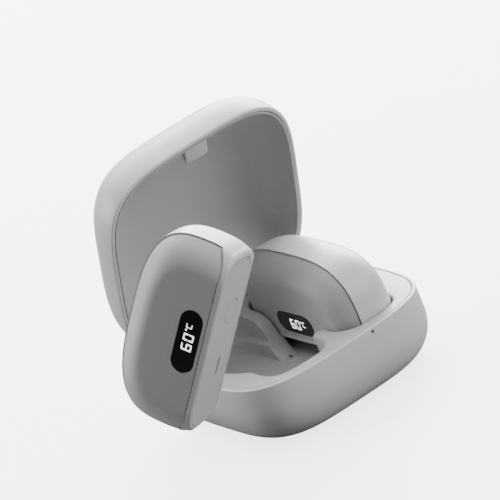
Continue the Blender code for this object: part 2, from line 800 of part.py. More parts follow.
def well_flanks(wall):
    """Offsets and levels of a well's curved flanks, from its floor to its widest."""
    rise = WELL_SEAT - WELL_DEEP_FLOOR
    levels = []
    for height_share, inset_share in WELL_SHARES:
        level = WELL_DEEP_FLOOR - wall + rise * height_share
        above = height_share > 1
        front = WELL_CLEARANCE if above else WELL_CLEARANCE - WELL_FRONT_STEP
        offset = WELL_CLEARANCE - WELL_FLOOR_INSET * inset_share
        seat_share = WELL_SHARES[WELL_SEAT_ROW][1]
        back = front - WELL_FLOOR_INSET * max(0, inset_share - seat_share)
        levels.append((offset + wall, front + wall, back + wall, level))
    return levels


def well_rings(side):
    rings = [well_ring(side, *level) for level in well_flanks(0)]
    clear = WELL_CLEARANCE
    for grow, level in (
        (0, BASE_HEIGHT - WELL_FLARE),
        (WELL_FLARE / 3, BASE_HEIGHT - WELL_FLARE / 3),
        (WELL_FLARE, BASE_HEIGHT + GAP),
        (WELL_FLARE, BASE_HEIGHT + CUT_OVERRUN),
    ):
        rings.append(well_ring(side, *[clear + grow] * 3, level))
    return rings


def tub_rings(side):
    """Outer skin of a well, one wall outside its inner surface."""
    rings = [well_ring(side, *level) for level in well_flanks(TUB_WALL)]
    wide = WELL_CLEARANCE + TUB_WALL
    rings.append(well_ring(side, wide, wide, wide, BASE_HEIGHT - TRAY_THICKNESS / 2))
    return rings


def scoop_ring(side, reach, level):
    """Segment of a large circle that widens a well for a finger."""
    points = []
    centre = reach - SCOOP_RADIUS
    half_angle = math.asin(SCOOP_HALF_LENGTH / SCOOP_RADIUS)
    steps = 12
    for i in range(steps + 1):
        turn = half_angle * (2 * i / steps - 1)
        x = centre + SCOOP_RADIUS * math.cos(turn)
        y = SCOOP_RADIUS * math.sin(turn)
        points.append((side * x, y, level))
    inner = side * (SEAT_OFFSET + PANEL_DEPTH)
    points.append((inner, SCOOP_HALF_LENGTH, level))
    points.append((inner, -SCOOP_HALF_LENGTH, level))
    return points


def scoop_cutter(side, wall):
    low = WELL_SEAT + WELL_FLOOR_RISE
    rings = []
    for drop_share, reach_share in SCOOP_SHARES:
        level = BASE_HEIGHT - (BASE_HEIGHT - low) * drop_share
        reach = SCOOP_REACH - SCOOP_DEPTH * (1 - reach_share) + wall
        rings.append(scoop_ring(side, reach, level - wall))
    if wall:
        rings[-1] = scoop_ring(side, SCOOP_REACH + wall, BASE_HEIGHT - TRAY_THICKNESS / 2)
        return loft(rings)
    rings.append(scoop_ring(side, SCOOP_REACH + WELL_FLARE, BASE_HEIGHT + WELL_FLARE))
    return loft(rings)


def saddle_profile(front, floor, top, sink):
    """Side view of the dip between the wells: a steep S from the back, then a flat floor."""
    drop = BASE_HEIGHT - floor
    reach = SADDLE_BACK - SADDLE_TOE
    points = []
    for along, down in SADDLE_SHARES:
        level = max(floor, BASE_HEIGHT - drop * down - sink)
        points.append((SADDLE_TOE + reach * along, level))
    points.append((front, floor))
    points.append((front, top))
    points.append((SADDLE_BACK, top))
    return points


def saddle_cutter():
    rings = []
    for share in NOSE_SHARES:
        x = NOSE_RADIUS * share
        front = NOSE_TIP - NOSE_RADIUS * (1 - math.sqrt(1 - share**2))
        sink = SADDLE_SHOULDER * share**4
        profile = saddle_profile(front, WELL_DEEP_FLOOR, BASE_HEIGHT + CUT_OVERRUN, sink)
        rings.append([(x, y, z) for y, z in profile])
    first = [(-SADDLE_HALF_WIDTH, y, z) for x, y, z in rings[0]]
    last = [(SADDLE_HALF_WIDTH, y, z) for x, y, z in rings[-1]]
    return loft([first] + rings + [last])


def saddle_bridge():
    """Material under the dip, joined to both tubs."""
    floor = TUB_FLOOR
    profile = [
        (NOSE_TIP - NOSE_RADIUS, floor),
        (SADDLE_BACK, floor),
        (SADDLE_BACK, BASE_HEIGHT - TRAY_THICKNESS / 2),
        (NOSE_TIP - NOSE_RADIUS, BASE_HEIGHT - TRAY_THICKNESS / 2),
    ]
    half = SADDLE_HALF_WIDTH
    return loft([[(x, y, z) for y, z in profile] for x in (-half, half)])


def make_tray(look):
    inset = RIM_LAND + GAP
    low = BASE_HEIGHT - TRAY_THICKNESS
    edge = RIM_ROUND / 2
    plate = [
        case_ring(inset, low),
        case_ring(inset, BASE_HEIGHT - edge),
        case_ring(inset + edge, BASE_HEIGHT),
    ]
    tray = add_object("tray", finish_mesh("tray", loft(plate)), look)
    for name, side in (("left", -1), ("right", 1)):
        boolean(tray, cutter_object("tub_" + name, loft(tub_rings(side)), look), "UNION")
        skin = scoop_cutter(side, TUB_WALL)
        boolean(tray, cutter_object("scoop_skin_" + name, skin, look), "UNION")
    boolean(tray, cutter_object("saddle_bridge", saddle_bridge(), look), "UNION")
    for name, side in (("left", -1), ("right", 1)):
        boolean(tray, cutter_object("cut_well_" + name, loft(well_rings(side)), look))
        boolean(tray, cutter_object("cut_scoop_" + name, scoop_cutter(side, 0), look))
    boolean(tray, cutter_object("cut_saddle", saddle_cutter(), look))
    for name, side in (("left", -1), ("right", 1)):
        plan = rounded_box_plan(POST_LENGTH, POST_WIDTH, POST_ROUND)
        turn = Matrix.Rotation(math.pi / 2, 4, "Z")
        place = Matrix.Translation(charge_place(side, 0)) @ turn
        top = charge_block_low() - GAP
        post = placed_prism(plan, WELL_DEEP_FLOOR - TUB_WALL / 2, top, place)
        boolean(tray, cutter_object("charge_post_" + name, post, look), "UNION")
    notch = hinge_notch(
        look,
        "cut_tray_notch",
        low - CUT_OVERRUN,
        HINGE_PLACE[1] - KNUCKLE_RADIUS - GAP,
        BASE_HEIGHT + CUT_OVERRUN,
    )
    boolean(tray, notch)
    lamp = placed_prism(
        circle_plan(SADDLE_LAMP_RADIUS + GAP, 16),
        0,
        BASE_HEIGHT,
        Matrix.Translation((0, SADDLE_LAMP_PLACE, 0)),
    )
    boolean(tray, cutter_object("cut_saddle_lamp", lamp, look))
    return tray


def charge_place(side, z):
    seat = seat_matrix(side)
    place = seat @ Vector((SLOT_ALONG, 0, -PANEL_DEPTH))
    return Vector((place.x, place.y, z))


def charge_block_low():
    return WELL_SEAT - CHARGE_PIN_RISE - PIN_BLOCK_HEIGHT


def make_charge_block(name, side, look):
    turn = Matrix.Rotation(math.pi / 2, 4, "Z")
    place = Matrix.Translation(charge_place(side, charge_block_low())) @ turn
    plan = rounded_box_plan(PIN_BLOCK_LENGTH, PIN_BLOCK_WIDTH, PIN_BLOCK_ROUND)
    work = placed_prism(plan, 0, PIN_BLOCK_HEIGHT, place)
    block = add_object(name, finish_mesh(name, work), look)
    for i in (-1, 1):
        shift = Matrix.Translation((i * CHARGE_PIN_SPACING / 2, 0, 0))
        top = PIN_BLOCK_HEIGHT + CHARGE_PIN_RISE
        pin = placed_prism(
            circle_plan(CHARGE_PIN_RADIUS, 14), PIN_BLOCK_HEIGHT / 2, top, place @ shift
        )
        tool = cutter_object(name + ("_pin_a" if i < 0 else "_pin_b"), pin, look)
        boolean(block, tool, "UNION")
    return block


# Case inner pieces
def make_case_inside(looks):
    magnet_high = TUB_FLOOR - GAP
    for name, side in (("left", -1), ("right", 1)):
        middle = seat_matrix(side) @ Vector((0, 0, -PANEL_DEPTH))
        place = Matrix.Translation((middle.x, 0, 0))
        work = placed_prism(
            circle_plan(POD_MAGNET_RADIUS, 24),
            magnet_high - POD_MAGNET_THICKNESS,
            magnet_high,
            place,
        )
        label = "seat_magnet_" + name
        add_object(label, finish_mesh(label, work), looks["metal"])
        make_charge_block("charge_pins_" + name, side, looks["gold"])
    case_block(
        "case_battery", looks["cell"], (PACK_LENGTH, PACK_WIDTH), (0, PACK_SHIFT),
        PACK_LOW, PACK_LOW + PACK_THICKNESS, PACK_ROUND,
    )
    board_y = CASE_BOARD_BACK - CASE_BOARD_WIDTH / 2
    case_block(
        "case_board", looks["board"], (CASE_BOARD_LENGTH, CASE_BOARD_WIDTH), (0, board_y),
        CASE_BOARD_HEIGHT, CASE_BOARD_HEIGHT + CASE_BOARD_THICKNESS, PACK_ROUND,
    )
    latch_y = -HALF_DEPTH + BASE_WALL + GAP + LATCH_MAGNET_WIDTH / 2
    latch_high = BASE_HEIGHT - TRAY_THICKNESS - GAP
    case_block(
        "latch_magnet", looks["metal"], (LATCH_MAGNET_LENGTH, LATCH_MAGNET_WIDTH), (0, latch_y),
        latch_high - LATCH_MAGNET_HEIGHT, latch_high, PORT_WALL,
    )
    make_port(looks["metal"])
    make_lamps(looks["lamp"])
    pin = placed_prism(
        circle_plan(PIN_RADIUS, 20), -PIN_LENGTH / 2, PIN_LENGTH / 2, along_x(HINGE_PLACE)
    )
    add_object("hinge_pin", finish_mesh("hinge_pin", pin), looks["metal"])


def case_block(name, look, size, centre, low, high, radius):
    place = Matrix.Translation((centre[0], centre[1], 0))
    plan = rounded_box_plan(size[0], size[1], radius)
    return add_object(name, finish_mesh(name, placed_prism(plan, low, high, place)), look)


def port_mouth():
    return HALF_DEPTH - belly_inset(port_level()) - PORT_RECESS


def make_port(look):
    plan = rounded_box_plan(PORT_WIDTH, PORT_HEIGHT, PORT_ROUND, 4)
    place = (0, port_mouth() - PORT_LENGTH, port_level())
    port = add_object(
        "usb_port", finish_mesh("usb_port", placed_prism(plan, 0, PORT_LENGTH, along_y(place))), look
    )
    inner = rounded_box_plan(
        PORT_WIDTH - 2 * PORT_WALL, PORT_HEIGHT - 2 * PORT_WALL, PORT_ROUND - PORT_WALL, 4
    )
    floor = (0, place[1] + PORT_WALL, place[2])
    hole = placed_prism(inner, 0, PORT_LENGTH + CUT_OVERRUN, along_y(floor))
    boolean(port, cutter_object("cut_port_inside", hole, look))
    tongue = placed_prism(
        rounded_box_plan(TONGUE_WIDTH, TONGUE_HEIGHT, TONGUE_HEIGHT / 3),
        PORT_WALL / 2,
        PORT_LENGTH - PORT_ROUND,
        along_y(place),
    )
    boolean(port, cutter_object("port_tongue", tongue, look), "UNION")
    return port


def make_lamps(look):
    place = along_y((LAMP_OFFSET, -HALF_DEPTH + GAP / 2, BASE_HEIGHT - LAMP_DROP))
    work = placed_prism(circle_plan(LAMP_RADIUS, 16), 0, LAMP_LENGTH - GAP, place)
    add_object("charge_lamp", finish_mesh("charge_lamp", work), look)
    place = Matrix.Translation((0, SADDLE_LAMP_PLACE, 0))
    low = TUB_FLOOR
    work = placed_prism(circle_plan(SADDLE_LAMP_RADIUS, 16), low, WELL_DEEP_FLOOR - GAP, place)
    add_object("saddle_lamp", finish_mesh("saddle_lamp", work), look)


# Lid, modelled closed round its hinge axis and then turned open
def dome_rings(wall, low, steps, count):
    half_x = HALF_WIDTH - wall
    half_y = HALF_DEPTH - wall
    height = LID_HEIGHT - wall
    plan = superellipse(half_x, half_y, PLAN_EXPONENT, count)
    rings = []
    for i in range(steps):
        turn = math.pi / 2 * i / steps
        level = math.sin(turn) ** (2 / DOME_EXPONENT)
        scale = math.cos(turn) ** (2 / DOME_EXPONENT)
        rings.append([(x * scale, y * scale, low + height * level) for x, y in plan])
    return rings, (0, 0, low + height)


def dome_cutter(wall, low, steps, count):
    rings, tip = dome_rings(wall, low, steps, count)
    rings.insert(0, [(x, y, low - CUT_OVERRUN) for x, y, z in rings[0]])
    return loft(rings, tip)


def lid_local(work):
    return moved(work, Matrix.Translation(-Vector(HINGE_PLACE)))


def make_lid_shell(look, axis):
    rings, tip = dome_rings(0, LID_SEAT, 9, PLAN_COUNT)
    edge = case_ring(RIM_ROUND, LID_SEAT)
    rings[0] = case_ring(0, LID_SEAT + RIM_ROUND)
    work = lid_local(loft([edge] + rings, tip))
    shell = add_object("lid_shell", finish_mesh("lid_shell", work), look, axis)
    inner = lid_local(dome_cutter(LID_WALL, LID_SEAT, 6, PLAN_COUNT))
    boolean(shell, cutter_object("cut_lid_cavity", inner, look, axis))
    half = KNUCKLE_LENGTH / 2
    knuckle = placed_prism(circle_plan(KNUCKLE_RADIUS, 24), -half, half, along_x((0, 0, 0)))
    boolean(shell, cutter_object("lid_knuckle", knuckle, look, axis), "UNION")
    outer = HINGE_INSET - RIM_ROUND / 2
    inner_face = outer - WEB_THICKNESS
    plan = [(-half, inner_face), (half, inner_face), (half, outer), (-half, outer)]
    web = prism(plan, 0, HINGE_DROP + SEAM_GAP + WEB_RISE)
    boolean(shell, cutter_object("lid_web", web, look, axis), "UNION")
    bore = placed_prism(
        circle_plan(PIN_RADIUS + GAP, 20), -half - CUT_OVERRUN, half + CUT_OVERRUN, along_x((0, 0, 0))
    )
    boolean(shell, cutter_object("cut_knuckle_bore", bore, look, axis))
    return shell


def make_lid_liner(look, axis):
    outer_wall = LID_WALL + GAP
    inner_wall = outer_wall + LINER_WALL
    rings, tip = dome_rings(outer_wall, LID_SEAT, 6, LINER_COUNT)
    work = lid_local(loft(rings, tip))
    liner = add_object("lid_liner", finish_mesh("lid_liner", work), look, axis)
    inner = lid_local(dome_cutter(inner_wall, LID_SEAT, 7, LINER_COUNT))
    boolean(liner, cutter_object("cut_liner_cavity", inner, look, axis))
    return liner


def catch_profile():
    """Side view of the wedge: deep at the wall, thin at its tip."""
    back = -HALF_DEPTH + LID_WALL + LINER_WALL + 3 * GAP
    low = LID_SEAT + GAP
    return [
        (back, low),
        (back + CATCH_HEIGHT, low),
        (back + CATCH_HEIGHT, low + CATCH_TIP),
        (back, low + CATCH_DEPTH),
    ]


def make_lid_catch(looks, axis):
    half = CATCH_LENGTH / 2
    rings = [[(x, y, z) for y, z in catch_profile()] for x in (-half, half)]
    work = lid_local(loft(rings))
    catch = add_object("lid_catch", finish_mesh("lid_catch", work), looks["liner"], axis)
    low = LID_SEAT + GAP + CATCH_TIP
    wall = catch_profile()[0][0]
    middle = wall + GAP + LID_MAGNET_HEIGHT / 2
    pocket = placed_prism(
        rounded_box_plan(LID_MAGNET_LENGTH + 2 * GAP, LID_MAGNET_HEIGHT + 4 * GAP, GAP),
        low,
        low + CATCH_DEPTH,
        Matrix.Translation((0, middle - GAP, 0)),
    )
    boolean(catch, cutter_object("cut_magnet_pocket", lid_local(pocket), looks["liner"], axis))
    magnet = placed_prism(
        rounded_box_plan(LID_MAGNET_LENGTH, LID_MAGNET_HEIGHT, GAP),
        low + GAP,
        low + GAP + LID_MAGNET_DEPTH,
        Matrix.Translation((0, middle, 0)),
    )
    add_object("lid_magnet", finish_mesh("lid_magnet", lid_local(magnet)), looks["metal"], axis)
    return catch


def make_lid(looks):
    turn = Matrix.Rotation(-LID_OPEN_ANGLE, 4, "X")
    axis = empty("lid_axis", Matrix.Translation(HINGE_PLACE) @ turn)
    make_lid_shell(looks["shell"], axis)
    make_lid_liner(looks["liner"], axis)
    make_lid_catch(looks, axis)


def make_looks():
    return {
        "shell": material("matt pale grey plastic", (0.72, 0.72, 0.73), 0.48),
        "tray": material("light grey tray plastic", (0.68, 0.68, 0.69), 0.5),
        "liner": material("mid grey liner plastic", (0.55, 0.55, 0.56), 0.55),
        "cover": material("matt grey face plastic", (0.5, 0.5, 0.51), 0.5),
        "body": material("pale grey body plastic", (0.62, 0.62, 0.63), 0.45),
        "plate": material("pale grey side plastic", (0.6, 0.6, 0.61), 0.42),
        "button": material("pale grey button plastic", (0.6, 0.6, 0.61), 0.4),
        "window": material("gloss black window", (0.01, 0.01, 0.012), 0.12),
        "display": material("display module", (0.08, 0.08, 0.09), 0.4),
        "board": material("green circuit board", (0.05, 0.22, 0.11), 0.5),
        "cell": material("silver cell wrap", (0.45, 0.47, 0.5), 0.4, 0.3),
        "metal": material("plain steel", (0.6, 0.6, 0.61), 0.3, 1.0),
        "gold": material("gold contact", (0.8, 0.6, 0.25), 0.3, 1.0),
        "lamp": material("smoked lamp lens", (0.15, 0.15, 0.16), 0.3),
    }


def main():
    clear_scene()
    looks = make_looks()
    make_base_shell(looks["shell"])
    make_tray(looks["tray"])
    make_case_inside(looks)
    make_lid(looks)
    make_pod("pod_right", looks, seat_matrix(1))
    make_pod("pod_left", looks, loose_matrix())
    bpy.context.view_layer.update()


main()
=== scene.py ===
"""Electric hand warmers and their charging case: fine forms, finishes, displays, light and camera.

All lengths are in metres, in the frame of the part: the case stands on Z = 0
with its hinge at the back (+Y). A warmer is drawn in its own frame: X along it,
Y towards its crown, Z out of its face, with the seam between face and body at Z = 0.
"""

import math

import bmesh
import bpy
from mathutils import Matrix, Vector


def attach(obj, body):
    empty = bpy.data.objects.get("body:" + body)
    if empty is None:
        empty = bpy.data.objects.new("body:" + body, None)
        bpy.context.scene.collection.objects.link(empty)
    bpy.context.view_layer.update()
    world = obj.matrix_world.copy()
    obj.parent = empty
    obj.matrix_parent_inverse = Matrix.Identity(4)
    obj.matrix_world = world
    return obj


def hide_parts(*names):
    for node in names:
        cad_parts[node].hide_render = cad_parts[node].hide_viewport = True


MM = 0.001

# Clearances
GAP = 0.3 * MM
SEAM_GAP = 0.35 * MM
CUT_OVERRUN = 3.0 * MM
WELD_REACH = 0.004 * MM

# Fineness of the forms
EDGE_STEPS = 5
EDGE_SEGMENTS = 3
CAVITY_STEPS = 8
FACE_CAVITY_STEPS = 6
CAVITY_COUNT = 32
BORE_COUNT = 48
LAMP_COUNT = 32
PIN_COUNT = 24
BUTTON_COUNT = 64
SLOT_ROUND_STEPS = 8
WINDOW_ROUND_STEPS = 14
FORM_SHARP_ANGLE = math.radians(30)
NODE_SHARP_ANGLE = math.radians(32)

# Case
HALF_WIDTH = 45.0 * MM
HALF_DEPTH = 46.0 * MM
BASE_HEIGHT = 27.5 * MM
BELLY_HEIGHT = 17.1 * MM
BOTTOM_INSET = 12.6 * MM
BASE_WALL = 2.2 * MM
RIM_LAND = 1.3 * MM
RIM_ROUND = 0.6 * MM
LEDGE_DROP = 2.1 * MM
LID_SEAT = BASE_HEIGHT + SEAM_GAP
LID_HEIGHT = 28.2 * MM
LID_WALL = 1.4 * MM
LINER_WALL = 0.8 * MM
PLAN_EXPONENT = 3.8
BELLY_EXPONENT = 1.93
DOME_EXPONENT = 2.9
PLAN_COUNT = 176
BELLY_STEPS = 22
DOME_STEPS = 30

# Hinge
HINGE_INSET = 1.9 * MM
HINGE_DROP = 4.9 * MM
HINGE_PLACE = (0, HALF_DEPTH - HINGE_INSET, BASE_HEIGHT - HINGE_DROP)
LID_OPEN_ANGLE = math.radians(65.4)
KNUCKLE_RADIUS = 2.0 * MM
KNUCKLE_LENGTH = 27.4 * MM
WEB_THICKNESS = 1.2 * MM
WEB_RISE = 2.0 * MM
PIN_RADIUS = 0.8 * MM
PIN_LENGTH = 36.0 * MM
LUG_LENGTH = 5.0 * MM
LUG_RADIUS = 2.2 * MM

# Charging socket and lamps
PORT_WIDTH = 9.0 * MM
PORT_HEIGHT = 3.3 * MM
PORT_ROUND = 1.5 * MM
PORT_LEVEL = 8.45 * MM
LAMP_RADIUS = 0.6 * MM
LAMP_OFFSET = 10.1 * MM
LAMP_DROP = 1.7 * MM
SADDLE_LAMP_RADIUS = 0.8 * MM
SADDLE_LAMP_PLACE = 6.5 * MM

# Warmer
POD_HALF_LENGTH = 38.0 * MM
POD_RISE = 23.8 * MM
POD_FULL_DROP = 22.5 * MM
POD_FLAT_DROP = 11.3 * MM
POD_CORNER = 2.0 * MM
COVER_THICKNESS = 7.8 * MM
COVER_INSET = 10.8 * MM
COVER_CORNER = 8.9 * MM
RIM_WIDTH = 2.3 * MM
COVER_FLAT_DROP = POD_FLAT_DROP - RIM_WIDTH
BODY_THICKNESS = 19.1 * MM
BODY_INSET = 16.6 * MM
POD_WALL = 1.8 * MM
FLAT_WALL = 2.8 * MM
FLAT_FRONT_ROUND = 0.5 * MM
FLAT_BACK_ROUND = 2.6 * MM
POD_EXPONENT = 3.1
POD_DROP_EXPONENT = 2.4
COVER_EXPONENT = 1.75
BODY_EXPONENT = 3.7
POD_COUNT = 128
FRONT_STEPS = 20
BACK_STEPS = 26
CORNER_STEPS = 6
SIDE_PLATE_MARGIN = 0.6 * MM
SIDE_PLATE_THICKNESS = 1.2 * MM
SIDE_PLATE_EDGE = 0.12 * MM

# Warmer display, button and charging slot
WINDOW_LENGTH = 24.9 * MM
WINDOW_WIDTH = 8.9 * MM
WINDOW_THICKNESS = 1.1 * MM
WINDOW_LEDGE = 0.9 * MM
WINDOW_ALONG = 0.9 * MM
WINDOW_ACROSS = -3.1 * MM
BUTTON_RADIUS = 4.7 * MM
BUTTON_THICKNESS = 1.4 * MM
BUTTON_EDGE = 0.25 * MM
BUTTON_ALONG = 11.6 * MM
PANEL_DEPTH = 7.2 * MM
SLOT_ALONG = -11.1 * MM
SLOT_LENGTH = 7.6 * MM
SLOT_WIDTH = 1.2 * MM
CONTACT_LENGTH = 9.0 * MM
CONTACT_WIDTH = 2.6 * MM
CONTACT_THICKNESS = 0.8 * MM

# Places of the two warmers
SEATED_PLACE = (11.2 * MM, 0, 28.6 * MM)
SEATED_ALONG = (0, -1, 0)
SEATED_ACROSS = (0, 0, 1)
LOOSE_PLACE = (-72.2 * MM, -71.7 * MM, 77.1 * MM)
LOOSE_ALONG = (0.428, -0.3565, 0.8306)
LOOSE_ACROSS = (-0.374, 0.767, 0.5216)

# Tray
TRAY_THICKNESS = 1.8 * MM
TUB_WALL = 1.6 * MM
WELL_DEEP_FLOOR = 11.1 * MM
WELL_SEAT = 17.0 * MM
WELL_CLEARANCE = 0.8 * MM
WELL_FLOOR_INSET = 8.0 * MM
WELL_FRONT_STEP = 1.3 * MM
WELL_STEP_SLOPE = 5
WELL_FLOOR_RISE = 2.5 * MM
WELL_FLARE = 0.7 * MM
# Height up the well and inset of its flank, from the floor to the widest
WELL_SHARES = (
    (0.00, 1.00),
    (0.10, 0.78),
    (0.36, 0.57),
    (0.70, 0.43),
    (1.00, 0.3625),
    (1.20, 0.125),
    (1.60, 0.00),
)
SEAT_INSET_SHARE = 0.3625
SCOOP_RADIUS = 40.0 * MM
SCOOP_REACH = 36.5 * MM
SCOOP_DEPTH = 5.0 * MM
SCOOP_HALF_LENGTH = 21.0 * MM
# Drop below the rim and reach of the finger scoop
SCOOP_SHARES = (
    (1.00, 0.00),
    (0.85, 0.45),
    (0.55, 0.80),
    (0.08, 1.00),
)
SADDLE_HALF_WIDTH = 8.0 * MM
SADDLE_BACK = 28.5 * MM
SADDLE_TOE = 1.0 * MM
SADDLE_SHOULDER = 1.6 * MM
NOSE_TIP = -22.5 * MM
NOSE_RADIUS = 4.3 * MM
# Run of the dip from its toe and drop below the rim
SADDLE_SHARES = (
    (1.00, 0.00),
    (0.80, 0.03),
    (0.65, 0.12),
    (0.55, 0.30),
    (0.48, 0.56),
    (0.39, 0.78),
    (0.27, 0.92),
    (0.13, 0.985),
    (0.00, 1.00),
)
POST_LENGTH = 10.0 * MM
POST_WIDTH = 5.0 * MM
POST_ROUND = 0.8 * MM
POST_TOP = 13.9 * MM
PINS_LENGTH = 8.0 * MM
PINS_WIDTH = 3.0 * MM
PINS_THICKNESS = 1.2 * MM
PINS_ROUND = 0.4 * MM
CHARGE_PIN_RADIUS = 0.5 * MM
CHARGE_PIN_SPACING = 4.0 * MM
CHARGE_PIN_RISE = 0.8 * MM

# Lid catch
CATCH_LENGTH = 10.5 * MM
CATCH_HEIGHT = 6.4 * MM
CATCH_DEPTH = 4.6 * MM
CATCH_TIP = 0.7 * MM
CATCH_EDGE = 0.25 * MM

# Display figures
FIGURE_RAISE = 0.02 * MM
FIGURE_THICKNESS = 0.04 * MM
FIGURE_FILL = 0.97
FIGURE_CUT_SHARE = 0.35
DEGREE_COUNT = 12
DEGREE_RADIUS = 0.4 * MM
DEGREE_ALONG = 4.4 * MM
DEGREE_ACROSS = 1.3 * MM
# Bars of each figure, lettered as on a seven-bar display: a on top, clockwise to f, g in between
FIGURE_BARS = {"6": "acdefg", "0": "abcdef", "C": "adef"}
# Figure, place along and across the window, width, height and stroke
FIGURE_LAYOUT = (
    ("6", -2.1 * MM, -0.3 * MM, 2.8 * MM, 4.2 * MM, 0.58 * MM),
    ("0", 1.7 * MM, -0.3 * MM, 2.8 * MM, 4.2 * MM, 0.58 * MM),
    ("C", 6.2 * MM, 0.4 * MM, 1.8 * MM, 2.4 * MM, 0.36 * MM),
)

# Moulded surface: scale per metre, detail and roughness of each noise, and what it moves
FINE_GRAIN = (5200, 3)
COARSE_GRAIN = (1500, 2)
MARKS = (38, 4, 0.6)
FINE_GRAIN_SHARE = 0.6
GRAIN_STRENGTH = 0.5
GRAIN_DEPTH = 0.02 * MM
MARK_ROUGHNESS = 0.16
MARK_TONE = 0.06
COOL_TINT = 0.005
# Finish, its material, grey tone, roughness and grain
MOULDED_LOOKS = (
    ("shell", "case shell plastic", 0.58, 0.42, 0.8),
    ("tray", "tray plastic", 0.44, 0.46, 0.9),
    # The liner's grey tone is set darker than the shell's as painted shade, because the lid's
    # inside turns away from the lights. The catch shares this tone.
    ("liner", "liner plastic", 0.44, 0.5, 1.0),
    # The face's grey tone is set darker than the body's as painted shade, because the warmers'
    # faces turn away from the lights.
    ("face", "warmer face plastic", 0.42, 0.5, 1.0),
    ("pod", "warmer body plastic", 0.55, 0.4, 0.8),
    ("plate", "side plate plastic", 0.50, 0.44, 1.0),
)
# Finish, its material, colour, roughness and metallic value
PLAIN_LOOKS = (
    ("window", "smoked display window", (0.004, 0.004, 0.005), 0.12, 0.0),
    ("board", "circuit board", (0.02, 0.12, 0.05), 0.45, 0.0),
    ("cell", "cell wrap", (0.35, 0.40, 0.45), 0.35, 0.4),
    ("metal", "plated steel", (0.62, 0.62, 0.63), 0.3, 1.0),
    ("gold", "gold contact", (0.83, 0.62, 0.28), 0.28, 1.0),
    ("lamp", "lamp lens", (0.12, 0.12, 0.125), 0.25, 0.0),
)
GLOW_STRENGTH = 2.2
UNLIT_COLOUR = (0.02, 0.02, 0.02)
UNLIT_ROUGHNESS = 0.4
# Finish of each small piece whose solid is shown as it is
NODE_LOOKS = {
    "case_battery": "cell",
    "case_board": "board",
    "usb_port": "metal",
    "charge_lamp": "lamp",
    "saddle_lamp": "lamp",
    "seat_magnet_left": "metal",
    "seat_magnet_right": "metal",
    "latch_magnet": "metal",
    "hinge_pin": "metal",
    "lid_magnet": "metal",
    "pod_heater_plate": "metal",
    "pod_battery_cell": "cell",
    "pod_control_board": "board",
    "pod_display_module": "board",
    "pod_button_switch": "metal",
}

# Stage: the floor gives back less light than it shows, so that the undersides keep their shade
FLOOR_HALF = 6.0
FLOOR_COLOUR = (0.95, 0.95, 0.95)
FLOOR_BOUNCE = (0.15, 0.15, 0.15)
FLOOR_GLOW = (3.0, 3.0, 3.0)
FLOOR_ROUGHNESS = 0.9
FLOOR_GLOSS = 0.1
WORLD_STRENGTH = 0.06
LIGHT_TARGET = (0, 0, 0.04)
# Light, its place, width and height, and power in watts
LIGHTS = (
    ("top_panel", (0.0, 0.0, 1.7), (1.6, 1.6), 20),
    ("back_panel", (0.1, 1.1, 1.2), (1.4, 1.0), 34),
    ("key_panel", (1.1, 1.1, 0.7), (1.0, 1.0), 88),
    ("side_fill", (0.9, -1.2, 0.6), (1.0, 1.0), 22),
    ("right_fill", (1.5, 0.1, 0.6), (1.0, 1.0), 10),
    ("rim_panel", (-1.0, 1.1, 0.5), (0.6, 0.8), 16),
)

# Camera
CAMERA_PLACE = (-0.7097, -1.4724, 0.6866)
CAMERA_AZIMUTH = math.radians(-25.671)
CAMERA_ELEVATION = math.radians(20.944)
CAMERA_ROLL = math.radians(-22.651)
CAMERA_LENS = 330.6
CAMERA_SENSOR = 36
CAMERA_REACH = 20

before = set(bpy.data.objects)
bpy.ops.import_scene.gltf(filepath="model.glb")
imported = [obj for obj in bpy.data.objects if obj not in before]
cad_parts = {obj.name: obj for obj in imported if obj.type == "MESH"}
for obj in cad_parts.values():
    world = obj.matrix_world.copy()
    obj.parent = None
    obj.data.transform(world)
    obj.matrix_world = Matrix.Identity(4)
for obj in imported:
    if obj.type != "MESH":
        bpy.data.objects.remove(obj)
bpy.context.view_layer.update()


# Outlines
def signed_power(value, power):
    return math.copysign(abs(value) ** power, value)


def case_plan(half_x, half_y):
    points = []
    for i in range(PLAN_COUNT):
        turn = math.tau * i / PLAN_COUNT
        x = half_x * signed_power(math.cos(turn), 2 / PLAN_EXPONENT)
        y = half_y * signed_power(math.sin(turn), 2 / PLAN_EXPONENT)
        points.append((x, y))
    return points


def case_ring(inset, z):
    return [(x, y, z) for x, y in case_plan(HALF_WIDTH - inset, HALF_DEPTH - inset)]


def rounded_plan(length, width, radius, steps=5):
    points = []
    for quarter in range(4):
        centre_x = (length / 2 - radius) * (1 if quarter in (0, 3) else -1)
        centre_y = (width / 2 - radius) * (1 if quarter in (0, 1) else -1)
        for i in range(steps + 1):
            turn = math.pi / 2 * (quarter + i / steps)
            points.append((centre_x + radius * math.cos(turn), centre_y + radius * math.sin(turn)))
    return points


def circle_plan(radius, count=BORE_COUNT):
    return [
        (radius * math.cos(math.tau * i / count), radius * math.sin(math.tau * i / count))
        for i in range(count)
    ]


def quarter_turn(steps=EDGE_STEPS):
    """Cosine and sine of even steps through a right angle."""
    turns = [math.pi / 2 * i / steps for i in range(steps + 1)]
    return [(math.cos(turn), math.sin(turn)) for turn in turns]


def smooth_rows(rows, steps=5):
    """Rows of shares with a smooth curve drawn through them."""
    fine = []
    for i in range(len(rows) - 1):
        near = [rows[min(max(i + k, 0), len(rows) - 1)] for k in (-1, 0, 1, 2)]
        for k in range(steps):
            t = k / steps
            before = -t * (1 - t) ** 2 / 2
            after = t**2 * (t - 1) / 2
            start = (2 - 5 * t**2 + 3 * t**3) / 2
            end = (t + 4 * t**2 - 3 * t**3) / 2
            row = zip(*near)
            fine.append(tuple(a * before + b * start + c * end + d * after for a, b, c, d in row))
    fine.append(rows[-1])
    return fine


